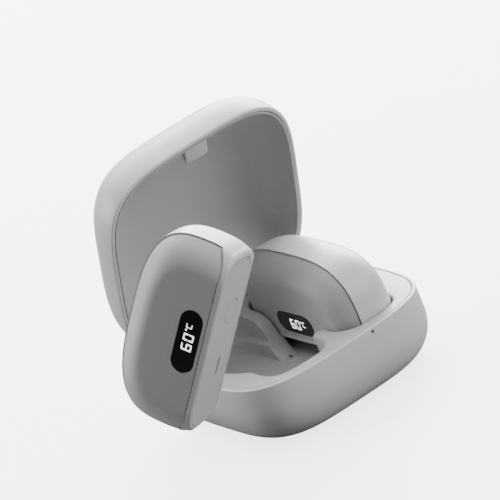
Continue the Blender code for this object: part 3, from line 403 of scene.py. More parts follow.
# Solids
def loft(rings, tip=None):
    """Closed solid through rings of equal length, with flat ends or a pointed last one."""
    work = bmesh.new()
    loops = [[work.verts.new(point) for point in ring] for ring in rings]
    count = len(rings[0])
    for low, high in zip(loops, loops[1:]):
        for i in range(count):
            j = (i + 1) % count
            work.faces.new((low[i], low[j], high[j], high[i]))
    work.faces.new(loops[0])
    if tip is None:
        work.faces.new(loops[-1])
    else:
        apex = work.verts.new(tip)
        for i in range(count):
            work.faces.new((loops[-1][i], loops[-1][(i + 1) % count], apex))
    return work


def ease_edges(work, edges, size):
    bmesh.ops.bevel(
        work, geom=edges, offset=size, segments=EDGE_SEGMENTS, affect="EDGES", profile=0.5
    )


def prism(plan, low, high, matrix=None, edge=0.0):
    work = loft([[(x, y, low) for x, y in plan], [(x, y, high) for x, y in plan]])
    if edge:
        rims = [e for e in work.edges if e.verts[0].co.z == e.verts[1].co.z]
        ease_edges(work, rims, edge)
    return moved(work, matrix) if matrix else work


def moved(work, matrix):
    bmesh.ops.transform(work, matrix=matrix, verts=work.verts)
    return work


def along_x(place):
    return Matrix.Translation(place) @ Matrix.Rotation(math.pi / 2, 4, "Y")


def along_y(place):
    return Matrix.Translation(place) @ Matrix.Rotation(-math.pi / 2, 4, "X")


def as_object(name, work):
    if isinstance(work, bpy.types.Mesh):
        mesh = work
    else:
        bmesh.ops.recalc_face_normals(work, faces=work.faces)
        mesh = bpy.data.meshes.new(name)
        work.to_mesh(mesh)
        work.free()
    made = bpy.data.objects.new(name, mesh)
    bpy.context.scene.collection.objects.link(made)
    return made


def clean_seams(mesh):
    """Join the points that the cuts leave on top of each other."""
    work = bmesh.new()
    work.from_mesh(mesh)
    bmesh.ops.remove_doubles(work, verts=work.verts, dist=WELD_REACH)
    bmesh.ops.dissolve_degenerate(work, edges=work.edges, dist=WELD_REACH)
    work.to_mesh(mesh)
    work.free()


def shaped(name, work, *steps):
    """Mesh of a form after its cuts, unions and intersections, in the order given."""
    target = as_object(name, work)
    tools = []
    for operation, tool in steps:
        cutter = as_object(name + "_tool", tool)
        tools.append(cutter)
        step = target.modifiers.new(operation.title(), "BOOLEAN")
        step.operation = operation
        step.solver = "EXACT"
        step.object = cutter
    bpy.context.view_layer.update()
    graph = bpy.context.evaluated_depsgraph_get()
    mesh = bpy.data.meshes.new_from_object(target.evaluated_get(graph))
    for used in [target, *tools]:
        bpy.data.objects.remove(used, do_unlink=True)
    mesh.name = name
    clean_seams(mesh)
    mesh.shade_smooth()
    mesh.set_sharp_from_angle(angle=FORM_SHARP_ANGLE)
    return mesh


def add_piece(name, mesh, look, matrix, body, slot, *nodes):
    """One shown piece in its finish, carried by a body in place of its solids."""
    piece = bpy.data.objects.new(name, mesh)
    bpy.context.scene.collection.objects.link(piece)
    mesh.materials.clear()
    mesh.materials.append(look)
    mesh.transform(matrix)
    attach(piece, body)
    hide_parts(*nodes)


# Case base
def belly_level(step, steps):
    turn = math.pi / 2 * (1 - step / steps)
    return BELLY_HEIGHT * (1 - math.sin(turn) ** (2 / BELLY_EXPONENT))


def belly_inset(z):
    share = max(0.0, (BELLY_HEIGHT - z) / BELLY_HEIGHT)
    rest = max(0.0, 1 - share**BELLY_EXPONENT)
    return BOTTOM_INSET * (1 - rest ** (1 / BELLY_EXPONENT))


def base_outer_rings():
    levels = [belly_level(i, BELLY_STEPS) for i in range(BELLY_STEPS)]
    rings = [case_ring(belly_inset(z), z) for z in levels]
    rings.append(case_ring(0, BELLY_HEIGHT))
    rings.append(case_ring(0, (BELLY_HEIGHT + BASE_HEIGHT) / 2))
    for over, up in quarter_turn():
        rings.append(case_ring(RIM_ROUND * (1 - over), BASE_HEIGHT - RIM_ROUND * (1 - up)))
    return rings


def base_cavity_rings():
    rings = []
    for i in range(CAVITY_STEPS):
        z = belly_level(i, CAVITY_STEPS)
        level = BASE_WALL + z * (BELLY_HEIGHT - BASE_WALL) / BELLY_HEIGHT
        rings.append(case_ring(belly_inset(z) + BASE_WALL, level))
    ledge = BASE_HEIGHT - LEDGE_DROP
    rings.append(case_ring(BASE_WALL, BELLY_HEIGHT))
    rings.append(case_ring(BASE_WALL, ledge))
    rings.append(case_ring(RIM_LAND, ledge))
    rings.append(case_ring(RIM_LAND, BASE_HEIGHT - RIM_ROUND / 3))
    rings.append(case_ring(RIM_LAND - RIM_ROUND / 3, BASE_HEIGHT))
    rings.append(case_ring(RIM_LAND - RIM_ROUND / 3, BASE_HEIGHT + CUT_OVERRUN))
    return rings


def hinge_notch(low, inner, high):
    plan = rounded_plan(KNUCKLE_LENGTH + 2 * GAP, high - low, GAP)
    depth = HALF_DEPTH + CUT_OVERRUN - inner
    return prism(plan, 0, depth, along_y((0, inner, (low + high) / 2)))


def hinge_bore(half):
    return prism(circle_plan(PIN_RADIUS + GAP), -half, half, along_x(HINGE_PLACE))


def base_mesh():
    steps = [("DIFFERENCE", loft(base_cavity_rings()))]
    for side in (-1, 1):
        middle = side * (KNUCKLE_LENGTH / 2 + GAP + LUG_LENGTH / 2)
        low = HINGE_PLACE[2] - LUG_RADIUS
        high = BASE_HEIGHT - LEDGE_DROP
        inner = HINGE_PLACE[1] - LUG_RADIUS
        depth = HALF_DEPTH - BASE_WALL / 2 - inner
        place = along_y((middle, inner, (low + high) / 2))
        steps.append(("UNION", prism(rounded_plan(LUG_LENGTH, high - low, GAP), 0, depth, place)))
    low = HINGE_PLACE[2] - KNUCKLE_RADIUS - GAP
    inner = HALF_DEPTH - BASE_WALL - CUT_OVERRUN
    steps.append(("DIFFERENCE", hinge_notch(low, inner, BASE_HEIGHT + CUT_OVERRUN)))
    bore = PIN_LENGTH / 2 + GAP
    steps.append(("DIFFERENCE", hinge_bore(bore)))
    size = (PORT_WIDTH + 2 * GAP, PORT_HEIGHT + 2 * GAP)
    plan = rounded_plan(*size, PORT_ROUND + GAP, SLOT_ROUND_STEPS)
    depth = BASE_WALL + 3 * CUT_OVERRUN
    place = along_y((0, HALF_DEPTH - BASE_WALL - 2 * CUT_OVERRUN, PORT_LEVEL))
    steps.append(("DIFFERENCE", prism(plan, 0, depth, place)))
    place = along_y((LAMP_OFFSET, -HALF_DEPTH, BASE_HEIGHT - LAMP_DROP))
    hole = circle_plan(LAMP_RADIUS + GAP / 2, LAMP_COUNT)
    steps.append(("DIFFERENCE", prism(hole, -CUT_OVERRUN, CUT_OVERRUN, place)))
    return shaped("base_form", loft(base_outer_rings()), *steps)


# Tray
def crown_step(i, steps, inset, exponent):
    """Share of the depth and the inset of one step round a crowned face."""
    turn = math.pi / 2 * i / steps
    share = math.sin(turn) ** (2 / exponent)
    return share, inset * (1 - max(0, math.cos(turn)) ** (2 / exponent))


def seated_plan(offset, front_offset, back_offset, back_steps=18, front_steps=10):
    """Outline of a seated warmer from above, in its own X and Z, grown by three offsets."""
    half = []
    for i in range(front_steps, 0, -1):
        share, inset = crown_step(i, front_steps, COVER_INSET, COVER_EXPONENT)
        half.append((POD_HALF_LENGTH + offset - inset, (COVER_THICKNESS + front_offset) * share))
    for i in range(back_steps + 1):
        share, inset = crown_step(i, back_steps, BODY_INSET, BODY_EXPONENT)
        half.append((POD_HALF_LENGTH + offset - inset, -(BODY_THICKNESS + back_offset) * share))
    return half + [(-x, z) for x, z in reversed(half)]


def well_ring(side, offset, front_offset, back_offset, level):
    return [
        (side * (SEATED_PLACE[0] - z), -side * x, level)
        for x, z in seated_plan(offset, front_offset, back_offset)
    ]


def well_flanks(wall):
    """Offsets and levels of a well's curved flanks, from its floor to its widest."""
    rise = WELL_SEAT - WELL_DEEP_FLOOR
    flanks = []
    for height_share, inset_share in smooth_rows(WELL_SHARES):
        level = WELL_DEEP_FLOOR - wall + rise * height_share
        above = min(1, max(0, (height_share - 1) * WELL_STEP_SLOPE))
        front = WELL_CLEARANCE - WELL_FRONT_STEP * (1 - above)
        offset = WELL_CLEARANCE - WELL_FLOOR_INSET * inset_share
        back = front - WELL_FLOOR_INSET * max(0, inset_share - SEAT_INSET_SHARE)
        flanks.append((offset + wall, front + wall, back + wall, level))
    return flanks


def well_cutter(side):
    rings = [well_ring(side, *level) for level in well_flanks(0)]
    for over, up in quarter_turn():
        grow = WELL_CLEARANCE + WELL_FLARE * (1 - over)
        rings.append(well_ring(side, grow, grow, grow, BASE_HEIGHT - WELL_FLARE * (1 - up)))
    rings.append(well_ring(side, grow, grow, grow, BASE_HEIGHT + CUT_OVERRUN))
    return loft(rings)


def tub_skin(side):
    """Outer skin of a well, one wall outside its inner surface."""
    rings = [well_ring(side, *level) for level in well_flanks(TUB_WALL)]
    wide = WELL_CLEARANCE + TUB_WALL
    rings.append(well_ring(side, wide, wide, wide, BASE_HEIGHT - TRAY_THICKNESS / 2))
    return loft(rings)


def scoop_ring(side, reach, level, steps=28):
    """Segment of a large circle that widens a well for a finger."""
    points = []
    half_angle = math.asin(SCOOP_HALF_LENGTH / SCOOP_RADIUS)
    for i in range(steps + 1):
        turn = half_angle * (2 * i / steps - 1)
        x = reach - SCOOP_RADIUS + SCOOP_RADIUS * math.cos(turn)
        points.append((side * x, SCOOP_RADIUS * math.sin(turn), level))
    inner = side * (SEATED_PLACE[0] + PANEL_DEPTH)
    points.append((inner, SCOOP_HALF_LENGTH, level))
    points.append((inner, -SCOOP_HALF_LENGTH, level))
    return points


def scoop(side, wall):
    low = WELL_SEAT + WELL_FLOOR_RISE
    rings = []
    for drop_share, reach_share in smooth_rows(SCOOP_SHARES):
        level = BASE_HEIGHT - (BASE_HEIGHT - low) * drop_share
        reach = SCOOP_REACH - SCOOP_DEPTH * (1 - reach_share) + wall
        rings.append(scoop_ring(side, reach, level - wall))
    if wall:
        rings[-1] = scoop_ring(side, SCOOP_REACH + wall, BASE_HEIGHT - TRAY_THICKNESS / 2)
    else:
        rings.append(scoop_ring(side, SCOOP_REACH + WELL_FLARE, BASE_HEIGHT + WELL_FLARE))
    return loft(rings)


def saddle_profile(front, sink):
    """Side view of the dip between the wells: a steep S from the back, then a flat floor."""
    top = BASE_HEIGHT + CUT_OVERRUN
    drop = BASE_HEIGHT - WELL_DEEP_FLOOR
    points = []
    for along, down in smooth_rows(SADDLE_SHARES):
        level = max(WELL_DEEP_FLOOR, BASE_HEIGHT - drop * down - sink)
        points.append((SADDLE_TOE + (SADDLE_BACK - SADDLE_TOE) * along, level))
    return points + [(front, WELL_DEEP_FLOOR), (front, top), (SADDLE_BACK, top)]


def saddle_cutter(steps=20):
    rings = []
    for i in range(steps + 1):
        share = math.sin(math.pi / 2 * (2 * i / steps - 1))
        front = NOSE_TIP - NOSE_RADIUS * (1 - math.sqrt(max(0, 1 - share**2)))
        profile = saddle_profile(front, SADDLE_SHOULDER * share**4)
        rings.append([(NOSE_RADIUS * share, y, z) for y, z in profile])
    first = [(-SADDLE_HALF_WIDTH, *point[1:]) for point in rings[0]]
    last = [(SADDLE_HALF_WIDTH, *point[1:]) for point in rings[-1]]
    return loft([first] + rings + [last])


def saddle_bridge():
    """Material under the dip, joined to both tubs."""
    low = WELL_DEEP_FLOOR - TUB_WALL
    high = BASE_HEIGHT - TRAY_THICKNESS / 2
    front = NOSE_TIP - NOSE_RADIUS
    side = [(front, low), (SADDLE_BACK, low), (SADDLE_BACK, high), (front, high)]
    return loft([[(x, y, z) for y, z in side] for x in (-SADDLE_HALF_WIDTH, SADDLE_HALF_WIDTH)])


def above_post(side, along):
    """Frame of the charging post under a seated warmer's slot."""
    across = side * (SEATED_PLACE[0] + PANEL_DEPTH)
    return Matrix.Translation((across, along - side * SLOT_ALONG, 0))


def tray_mesh():
    inset = RIM_LAND + GAP
    low = BASE_HEIGHT - TRAY_THICKNESS
    edge = RIM_ROUND / 2
    plate = [case_ring(inset, low)]
    for over, up in quarter_turn(3):
        plate.append(case_ring(inset + edge * (1 - over), BASE_HEIGHT - edge * (1 - up)))
    steps = []
    for side in (-1, 1):
        steps.append(("UNION", tub_skin(side)))
        steps.append(("UNION", scoop(side, TUB_WALL)))
    steps.append(("UNION", saddle_bridge()))
    for side in (-1, 1):
        steps.append(("DIFFERENCE", well_cutter(side)))
        steps.append(("DIFFERENCE", scoop(side, 0)))
    steps.append(("DIFFERENCE", saddle_cutter()))
    for side in (-1, 1):
        plan = rounded_plan(POST_WIDTH, POST_LENGTH, POST_ROUND)
        low_end = WELL_DEEP_FLOOR - TUB_WALL / 2
        steps.append(("UNION", prism(plan, low_end, POST_TOP, above_post(side, 0))))
    inner = HINGE_PLACE[1] - KNUCKLE_RADIUS - GAP
    notch = hinge_notch(low - CUT_OVERRUN, inner, BASE_HEIGHT + CUT_OVERRUN)
    steps.append(("DIFFERENCE", notch))
    place = Matrix.Translation((0, SADDLE_LAMP_PLACE, 0))
    hole = circle_plan(SADDLE_LAMP_RADIUS + GAP / 2, LAMP_COUNT)
    steps.append(("DIFFERENCE", prism(hole, 0, BASE_HEIGHT, place)))
    return shaped("tray_form", loft(plate), *steps)


def pins_mesh(side):
    """Contact block on its post, with two short pins under the warmer's charging slot."""
    plan = rounded_plan(PINS_WIDTH, PINS_LENGTH, PINS_ROUND)
    block = prism(plan, POST_TOP, POST_TOP + PINS_THICKNESS, above_post(side, 0))
    top = POST_TOP + PINS_THICKNESS + CHARGE_PIN_RISE
    pin = circle_plan(CHARGE_PIN_RADIUS, PIN_COUNT)
    shifts = (-CHARGE_PIN_SPACING / 2, CHARGE_PIN_SPACING / 2)
    steps = [("UNION", prism(pin, POST_TOP, top, above_post(side, shift))) for shift in shifts]
    return shaped("pins_form", block, *steps)


# Lid
def dome_rings(wall, low, steps=DOME_STEPS):
    plan = case_plan(HALF_WIDTH - wall, HALF_DEPTH - wall)
    rings = []
    for i in range(steps):
        turn = math.pi / 2 * i / steps
        level = low + (LID_HEIGHT - wall) * math.sin(turn) ** (2 / DOME_EXPONENT)
        scale = math.cos(turn) ** (2 / DOME_EXPONENT)
        rings.append([(x * scale, y * scale, level) for x, y in plan])
    return rings, (0, 0, low + LID_HEIGHT - wall)


def at_level(ring, level):
    return [(point[0], point[1], level) for point in ring]


def dome_cutter(wall, low, edge=0.0):
    """The space under a dome, with the mouth's edge eased."""
    rings, tip = dome_rings(wall, low)
    if edge:
        rings[0] = at_level(rings[0], low + edge)
        rings.insert(0, case_ring(wall - edge, low))
    rings.insert(0, at_level(rings[0], low - CUT_OVERRUN))
    return loft(rings, tip)


def lid_mesh():
    rings, tip = dome_rings(0, LID_SEAT)
    edge = []
    for over, up in quarter_turn():
        edge.append(case_ring(RIM_ROUND * (1 - up), LID_SEAT + RIM_ROUND * (1 - over)))
    half = KNUCKLE_LENGTH / 2
    outer = HALF_DEPTH - RIM_ROUND / 2
    inner = outer - WEB_THICKNESS
    web = [(-half, inner), (half, inner), (half, outer), (-half, outer)]
    bore = half + CUT_OVERRUN
    return shaped(
        "lid_form",
        loft(edge + rings[1:], tip),
        ("DIFFERENCE", dome_cutter(LID_WALL, LID_SEAT, RIM_ROUND / 3)),
        ("UNION", prism(circle_plan(KNUCKLE_RADIUS), -half, half, along_x(HINGE_PLACE))),
        ("UNION", prism(web, HINGE_PLACE[2], LID_SEAT + WEB_RISE)),
        ("DIFFERENCE", hinge_bore(bore)),
    )


def liner_mesh():
    rings, tip = dome_rings(LID_WALL + GAP, LID_SEAT)
    inner = dome_cutter(LID_WALL + GAP + LINER_WALL, LID_SEAT, LINER_WALL / 4)
    return shaped("liner_form", loft(rings, tip), ("DIFFERENCE", inner))


def catch_mesh():
    """Wedge that is deep at the wall and thin at its tip."""
    back = -HALF_DEPTH + LID_WALL + LINER_WALL + 3 * GAP
    low = LID_SEAT + GAP
    side = [
        (back, low),
        (back + CATCH_HEIGHT, low),
        (back + CATCH_HEIGHT, low + CATCH_TIP),
        (back, low + CATCH_DEPTH),
    ]
    work = loft([[(x, y, z) for y, z in side] for x in (-CATCH_LENGTH / 2, CATCH_LENGTH / 2)])
    ease_edges(work, work.edges, CATCH_EDGE)
    return shaped("catch_form", work)


# Warmer
def outline_point(turn, inset):
    """Point of the inset outline; the lower half keeps its depth, since the flat side cuts it."""
    above = math.sin(turn) > 0
    power = 2 / (POD_EXPONENT if above else POD_DROP_EXPONENT)
    reach = POD_RISE - inset if above else POD_FULL_DROP
    x = (POD_HALF_LENGTH - inset) * signed_power(math.cos(turn), power)
    return x, reach * signed_power(math.sin(turn), power)


def flat_turn(drop):
    """Angle below the middle at which the outline has gone down by a drop."""
    return math.asin((drop / POD_FULL_DROP) ** (POD_DROP_EXPONENT / 2))


def pod_ring(inset, flat, z, count=POD_COUNT, corner=POD_CORNER):
    """One section of a warmer: a superellipse with a flat lower side and rounded corners."""
    start = flat_turn(flat - corner)
    points = []
    for i in range(count + 1):
        turn = (math.pi + 2 * start) * i / count - start
        points.append((*outline_point(turn, inset), z))
    end = points[0][0] - corner
    for side, quarter in ((-1, 2), (1, 3)):
        steps = range(1, CORNER_STEPS + 1) if side < 0 else range(CORNER_STEPS)
        for k in steps:
            turn = math.pi / 2 * (quarter + k / CORNER_STEPS)
            x = side * end + corner * math.cos(turn)
            points.append((x, corner - flat + corner * math.sin(turn), z))
    return points


def flat_pull(depth, thickness, radius):
    """How far the rounded edge at the end of a thickness draws the flat side in."""
    share = min(1, max(0, (depth - thickness + radius) / radius))
    return radius * (1 - math.sqrt(1 - share**2))


def front_rings(offset, flat, low, steps=FRONT_STEPS, count=POD_COUNT):
    rings = []
    top = COVER_THICKNESS - offset
    for i in range(steps + 1):
        share, inset = crown_step(i, steps, COVER_INSET, COVER_EXPONENT)
        level = low + (top - low) * share
        pull = flat_pull(level, COVER_THICKNESS, FLAT_FRONT_ROUND)
        rings.append(pod_ring(inset + offset, flat - pull, level, count))
    return rings


def back_rings(offset, flat, steps=BACK_STEPS, count=POD_COUNT):
    rings = []
    for i in range(steps + 1):
        share, inset = crown_step(i, steps, BODY_INSET, BODY_EXPONENT)
        depth = (BODY_THICKNESS - offset) * share
        pull = flat_pull(depth, BODY_THICKNESS, FLAT_BACK_ROUND)
        rings.append(pod_ring(inset + offset, flat - pull, -depth, count))
    return rings


def cover_prism(grow, low):
    """Block over everything in front of the seam, short of the rim on the flat side."""
    corner = COVER_CORNER + grow
    flat = COVER_FLAT_DROP + grow
    levels = (low, COVER_THICKNESS + CUT_OVERRUN)
    return loft([pod_ring(-RIM_WIDTH / 2, flat, z, POD_COUNT, corner) for z in levels])


def below_flat(along, depth):
    """Frame on the flat side, with Z pointing into the warmer."""
    turn = Matrix.Rotation(-math.pi / 2, 4, "X")
    return Matrix.Translation((along, -POD_FLAT_DROP, -depth)) @ turn


def front_form(drop=0):
    """The crowned front as a solid, lowered by a drop."""
    rings = front_rings(0, POD_FLAT_DROP, -CUT_OVERRUN)
    return moved(loft(rings), Matrix.Translation((0, 0, -drop)))


def window_prism(grow, low):
    length = WINDOW_LENGTH + 2 * grow
    width = WINDOW_WIDTH + 2 * grow
    plan = rounded_plan(length, width, width / 2, WINDOW_ROUND_STEPS)
    place = Matrix.Translation((WINDOW_ALONG, WINDOW_ACROSS, 0))
    return prism(plan, low, COVER_THICKNESS + CUT_OVERRUN, place)


def cover_mesh():
    flat = COVER_FLAT_DROP - POD_WALL
    hollow = (POD_WALL, flat, -CUT_OVERRUN, FACE_CAVITY_STEPS, CAVITY_COUNT)
    inner = loft(front_rings(*hollow))
    floor = front_form(WINDOW_THICKNESS + GAP)
    pocket = shaped("pocket", window_prism(GAP / 2, 0), ("DIFFERENCE", floor))
    return shaped(
        "face_form",
        cover_prism(0, GAP / 2),
        ("INTERSECT", front_form()),
        ("DIFFERENCE", inner),
        ("DIFFERENCE", pocket),
        ("DIFFERENCE", window_prism(-WINDOW_LEDGE, -CUT_OVERRUN)),
    )


def side_plate_solid(margin, low, high, edge=0.0):
    """Plate that follows the flat side's edge, a margin inside it, between two depths."""
    front = COVER_THICKNESS - FLAT_FRONT_ROUND - margin
    back = BODY_THICKNESS - FLAT_BACK_ROUND - margin
    half = []
    for i in range(FRONT_STEPS, 0, -1):
        share, inset = crown_step(i, FRONT_STEPS, COVER_INSET, COVER_EXPONENT)
        half.append((flat_half_length(inset + margin), -front * share))
    for i in range(BACK_STEPS + 1):
        share, inset = crown_step(i, BACK_STEPS, BODY_INSET, BODY_EXPONENT)
        half.append((flat_half_length(inset + margin), back * share))
    plan = half + [(-x, z) for x, z in reversed(half)]
    return prism(plan, low, high, below_flat(0, 0), edge)


def flat_half_length(inset):
    start = flat_turn(POD_FLAT_DROP - POD_CORNER)
    return outline_point(-start, inset)[0] - POD_CORNER


def body_mesh():
    """Deep back shell; on the flat side its rim comes forward to the front face."""
    form = loft(back_rings(0, POD_FLAT_DROP)[:0:-1] + front_rings(0, POD_FLAT_DROP, 0))
    flat = POD_FLAT_DROP - FLAT_WALL
    inner = back_rings(POD_WALL, flat, CAVITY_STEPS, CAVITY_COUNT)[::-1]
    inner.append(pod_ring(POD_WALL, flat, CUT_OVERRUN, CAVITY_COUNT))
    margin = SIDE_PLATE_MARGIN - GAP
    recess = prism(
        circle_plan(BUTTON_RADIUS + GAP),
        -CUT_OVERRUN,
        FLAT_WALL - GAP,
        below_flat(BUTTON_ALONG, PANEL_DEPTH),
    )
    pocket = prism(
        rounded_plan(CONTACT_LENGTH + 2 * GAP, CONTACT_WIDTH + 2 * GAP, GAP),
        0,
        FLAT_WALL - GAP,
        below_flat(SLOT_ALONG, PANEL_DEPTH),
    )
    return shaped(
        "body_form",
        form,
        ("DIFFERENCE", cover_prism(GAP, -GAP / 2)),
        ("DIFFERENCE", loft(inner)),
        ("DIFFERENCE", side_plate_solid(margin, -CUT_OVERRUN, SIDE_PLATE_THICKNESS + GAP)),
        ("DIFFERENCE", recess),
        ("DIFFERENCE", pocket),
    )


def side_plate_mesh():
    hole = prism(
        circle_plan(BUTTON_RADIUS + GAP),
        -CUT_OVERRUN,
        CUT_OVERRUN,
        below_flat(BUTTON_ALONG, PANEL_DEPTH),
    )
    slot = prism(
        rounded_plan(SLOT_LENGTH, SLOT_WIDTH, SLOT_WIDTH / 2, SLOT_ROUND_STEPS),
        -CUT_OVERRUN,
        CUT_OVERRUN,
        below_flat(SLOT_ALONG, PANEL_DEPTH),
    )
    plate = side_plate_solid(SIDE_PLATE_MARGIN, 0, SIDE_PLATE_THICKNESS, SIDE_PLATE_EDGE)
    return shaped("side_plate_form", plate, ("DIFFERENCE", hole), ("DIFFERENCE", slot))


def button_mesh():
    place = below_flat(BUTTON_ALONG, PANEL_DEPTH)
    plan = circle_plan(BUTTON_RADIUS, BUTTON_COUNT)
    return shaped("button_form", prism(plan, 0, BUTTON_THICKNESS, place, BUTTON_EDGE))


def contact_mesh():
    high = FLAT_WALL - GAP
    plan = rounded_plan(CONTACT_LENGTH, CONTACT_WIDTH, GAP)
    place = below_flat(SLOT_ALONG, PANEL_DEPTH)
    return shaped("contact_form", prism(plan, high - CONTACT_THICKNESS, high, place))


def window_mesh():
    """Lens of even thickness that follows the crowned face."""
    return shaped(
        "window_form",
        window_prism(0, 0),
        ("INTERSECT", front_form()),
        ("DIFFERENCE", front_form(WINDOW_THICKNESS)),
    )


# Shader helpers
def new_group(name, inputs, outputs):
    group = bpy.data.node_groups.new(name, "ShaderNodeTree")
    for label, kind, value in inputs:
        socket = group.interface.new_socket(label, in_out="INPUT", socket_type=kind)
        socket.default_value = value
    for label, kind in outputs:
        group.interface.new_socket(label, in_out="OUTPUT", socket_type=kind)
    entry = group.nodes.new("NodeGroupInput")
    leave = group.nodes.new("NodeGroupOutput")
    return group, entry, leave


def math_node(tree, operation, first, second):
    node = tree.nodes.new("ShaderNodeMath")
    node.operation = operation
    for socket, value in zip(node.inputs, (first, second)):
        if isinstance(value, bpy.types.NodeSocket):
            tree.links.new(value, socket)
        else:
            socket.default_value = value
    return node.outputs[0]


def noise_node(tree, place, scale, detail=2.0, roughness=0.5):
    node = tree.nodes.new("ShaderNodeTexNoise")
    tree.links.new(place, node.inputs["Vector"])
    node.inputs["Scale"].default_value = scale
    node.inputs["Detail"].default_value = detail
    node.inputs["Roughness"].default_value = roughness
    return node.outputs["Fac"]


def moulded_group():
    """Fine spark-eroded grain and faint handling marks of a moulded shell."""
    group, entry, leave = new_group(
        "moulded surface",
        [
            ("Colour", "NodeSocketColor", (0.6, 0.6, 0.6, 1)),
            ("Grain", "NodeSocketFloat", 1.0),
            ("Marks", "NodeSocketFloat", 1.0),
            ("Roughness", "NodeSocketFloat", 0.45),
        ],
        [
            ("Colour", "NodeSocketColor"),
            ("Roughness", "NodeSocketFloat"),
            ("Normal", "NodeSocketVector"),
        ],
    )

    def product(first, second):
        return math_node(group, "MULTIPLY", first, second)

    place = group.nodes.new("ShaderNodeTexCoord").outputs["Object"]
    fine = noise_node(group, place, *FINE_GRAIN)
    coarse = noise_node(group, place, *COARSE_GRAIN)
    cloud = noise_node(group, place, *MARKS)
    fine_part = product(fine, FINE_GRAIN_SHARE)
    grain = math_node(group, "ADD", fine_part, product(coarse, 1 - FINE_GRAIN_SHARE))
    bump = group.nodes.new("ShaderNodeBump")
    bump.inputs["Distance"].default_value = GRAIN_DEPTH
    group.links.new(grain, bump.inputs["Height"])
    group.links.new(product(entry.outputs["Grain"], GRAIN_STRENGTH), bump.inputs["Strength"])
    group.links.new(bump.outputs[0], leave.inputs["Normal"])
    centred = math_node(group, "SUBTRACT", cloud, 0.5)
    swing = product(centred, entry.outputs["Marks"])
    rough_swing = product(swing, MARK_ROUGHNESS)
    rough = math_node(group, "ADD", entry.outputs["Roughness"], rough_swing)
    group.links.new(rough, leave.inputs["Roughness"])
    tint = group.nodes.new("ShaderNodeHueSaturation")
    group.links.new(entry.outputs["Colour"], tint.inputs["Color"])
    value = math_node(group, "ADD", product(swing, MARK_TONE), 1.0)
    group.links.new(value, tint.inputs["Value"])
    group.links.new(tint.outputs[0], leave.inputs["Colour"])
    return group


def shader_of(material):
    return material.node_tree.nodes["Principled BSDF"]


def plain_material(name, colour, roughness, metallic=0.0):
    made = bpy.data.materials.new(name)
    made.use_nodes = True
    shader = shader_of(made)
    shader.inputs["Base Color"].default_value = (*colour, 1)
    shader.inputs["Roughness"].default_value = roughness
    shader.inputs["Metallic"].default_value = metallic
    return made


def moulded_material(group, name, tone, roughness, grain):
    colour = (tone, tone, tone + COOL_TINT)
    made = plain_material(name, colour, roughness)
    tree = made.node_tree
    node = tree.nodes.new("ShaderNodeGroup")
    node.node_tree = group
    node.inputs["Colour"].default_value = (*colour, 1)
    node.inputs["Grain"].default_value = grain
    node.inputs["Roughness"].default_value = roughness
    sockets = {"Colour": "Base Color", "Roughness": "Roughness", "Normal": "Normal"}
    for label, socket in sockets.items():
        tree.links.new(node.outputs[label], shader_of(made).inputs[socket])
    return made


def glowing_material(name, strength):
    made = plain_material(name, UNLIT_COLOUR, UNLIT_ROUGHNESS)
    shader = shader_of(made)
    shader.inputs["Emission Color"].default_value = (1, 1, 1, 1)
    shader.inputs["Emission Strength"].default_value = strength
    return made


# Places
def warmer_frame(along, across, place):
    x = Vector(along).normalized()
    y = Vector(across)
    y = (y - x * y.dot(x)).normalized()
    turn = Matrix((x, y, x.cross(y))).transposed().to_4x4()
    return Matrix.Translation(Vector(place)) @ turn


# Display
def bar_plans(width, height, stroke):
    """Mitred outline of every bar, with the figure's outer corners cut off."""
    cut = stroke * FIGURE_CUT_SHARE
    middle = height / 2
    half = stroke / 2
    left_high = [(0, height - cut), (0, middle), (half, middle + half), (stroke, middle + half)]
    left_high += [(stroke, height - stroke), (cut / 2, height - cut / 2)]
    top = [(cut, height), (cut / 2, height - cut / 2), (stroke, height - stroke)]
    top += [(width - x, y) for x, y in reversed(top)]
    centre = [(0, middle), (half, middle + half), (width - half, middle + half)]
    centre += [(width - x, height - y) for x, y in centre]

    def turned(plan, across, along):
        return [(width - x if across else x, height - y if along else y) for x, y in plan]

    return {
        "a": top,
        "d": turned(top, False, True),
        "f": left_high,
        "b": turned(left_high, True, False),
        "e": turned(left_high, False, True),
        "c": turned(left_high, True, True),
        "g": centre,
    }


def plate_mesh(name, plans):
    """Thin plates of the figures' light, one for each outline."""
    work = bmesh.new()
    for plan in plans:
        middle = sum((Vector(point) for point in plan), Vector((0, 0))) / len(plan)
        corners = [middle.lerp(Vector(point), FIGURE_FILL) for point in plan]
        work.faces.new([work.verts.new((x, y, 0)) for x, y in corners])
    made = bmesh.ops.extrude_face_region(work, geom=work.faces[:])
    for item in made["geom"]:
        if isinstance(item, bmesh.types.BMVert):
            item.co.z += FIGURE_THICKNESS
    bmesh.ops.recalc_face_normals(work, faces=work.faces)
    mesh = bpy.data.meshes.new(name)
    work.to_mesh(mesh)
    work.free()
    return mesh


def add_display(side, place, body, glow):
    ring = circle_plan(DEGREE_RADIUS, DEGREE_COUNT)
    figures = [("degree", [ring], DEGREE_ALONG, DEGREE_ACROSS)]
    for name, along, across, width, height, stroke in FIGURE_LAYOUT:
        bars = bar_plans(width, height, stroke)
        plans = [bars[bar] for bar in FIGURE_BARS[name]]
        plans = [[(x - width / 2, y - height / 2) for x, y in plan] for plan in plans]
        figures.append((name, plans, along, across))
    for name, plans, along, across in figures:
        mesh = plate_mesh(name, plans)
        mesh.materials.append(glow)
        piece = bpy.data.objects.new(f"figure_{side}_{name.lower()}", mesh)
        bpy.context.scene.collection.objects.link(piece)
        shift = (WINDOW_ALONG + along, WINDOW_ACROSS + across, COVER_THICKNESS + FIGURE_RAISE)
        mesh.transform(place @ Matrix.Translation(shift))
        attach(piece, body)


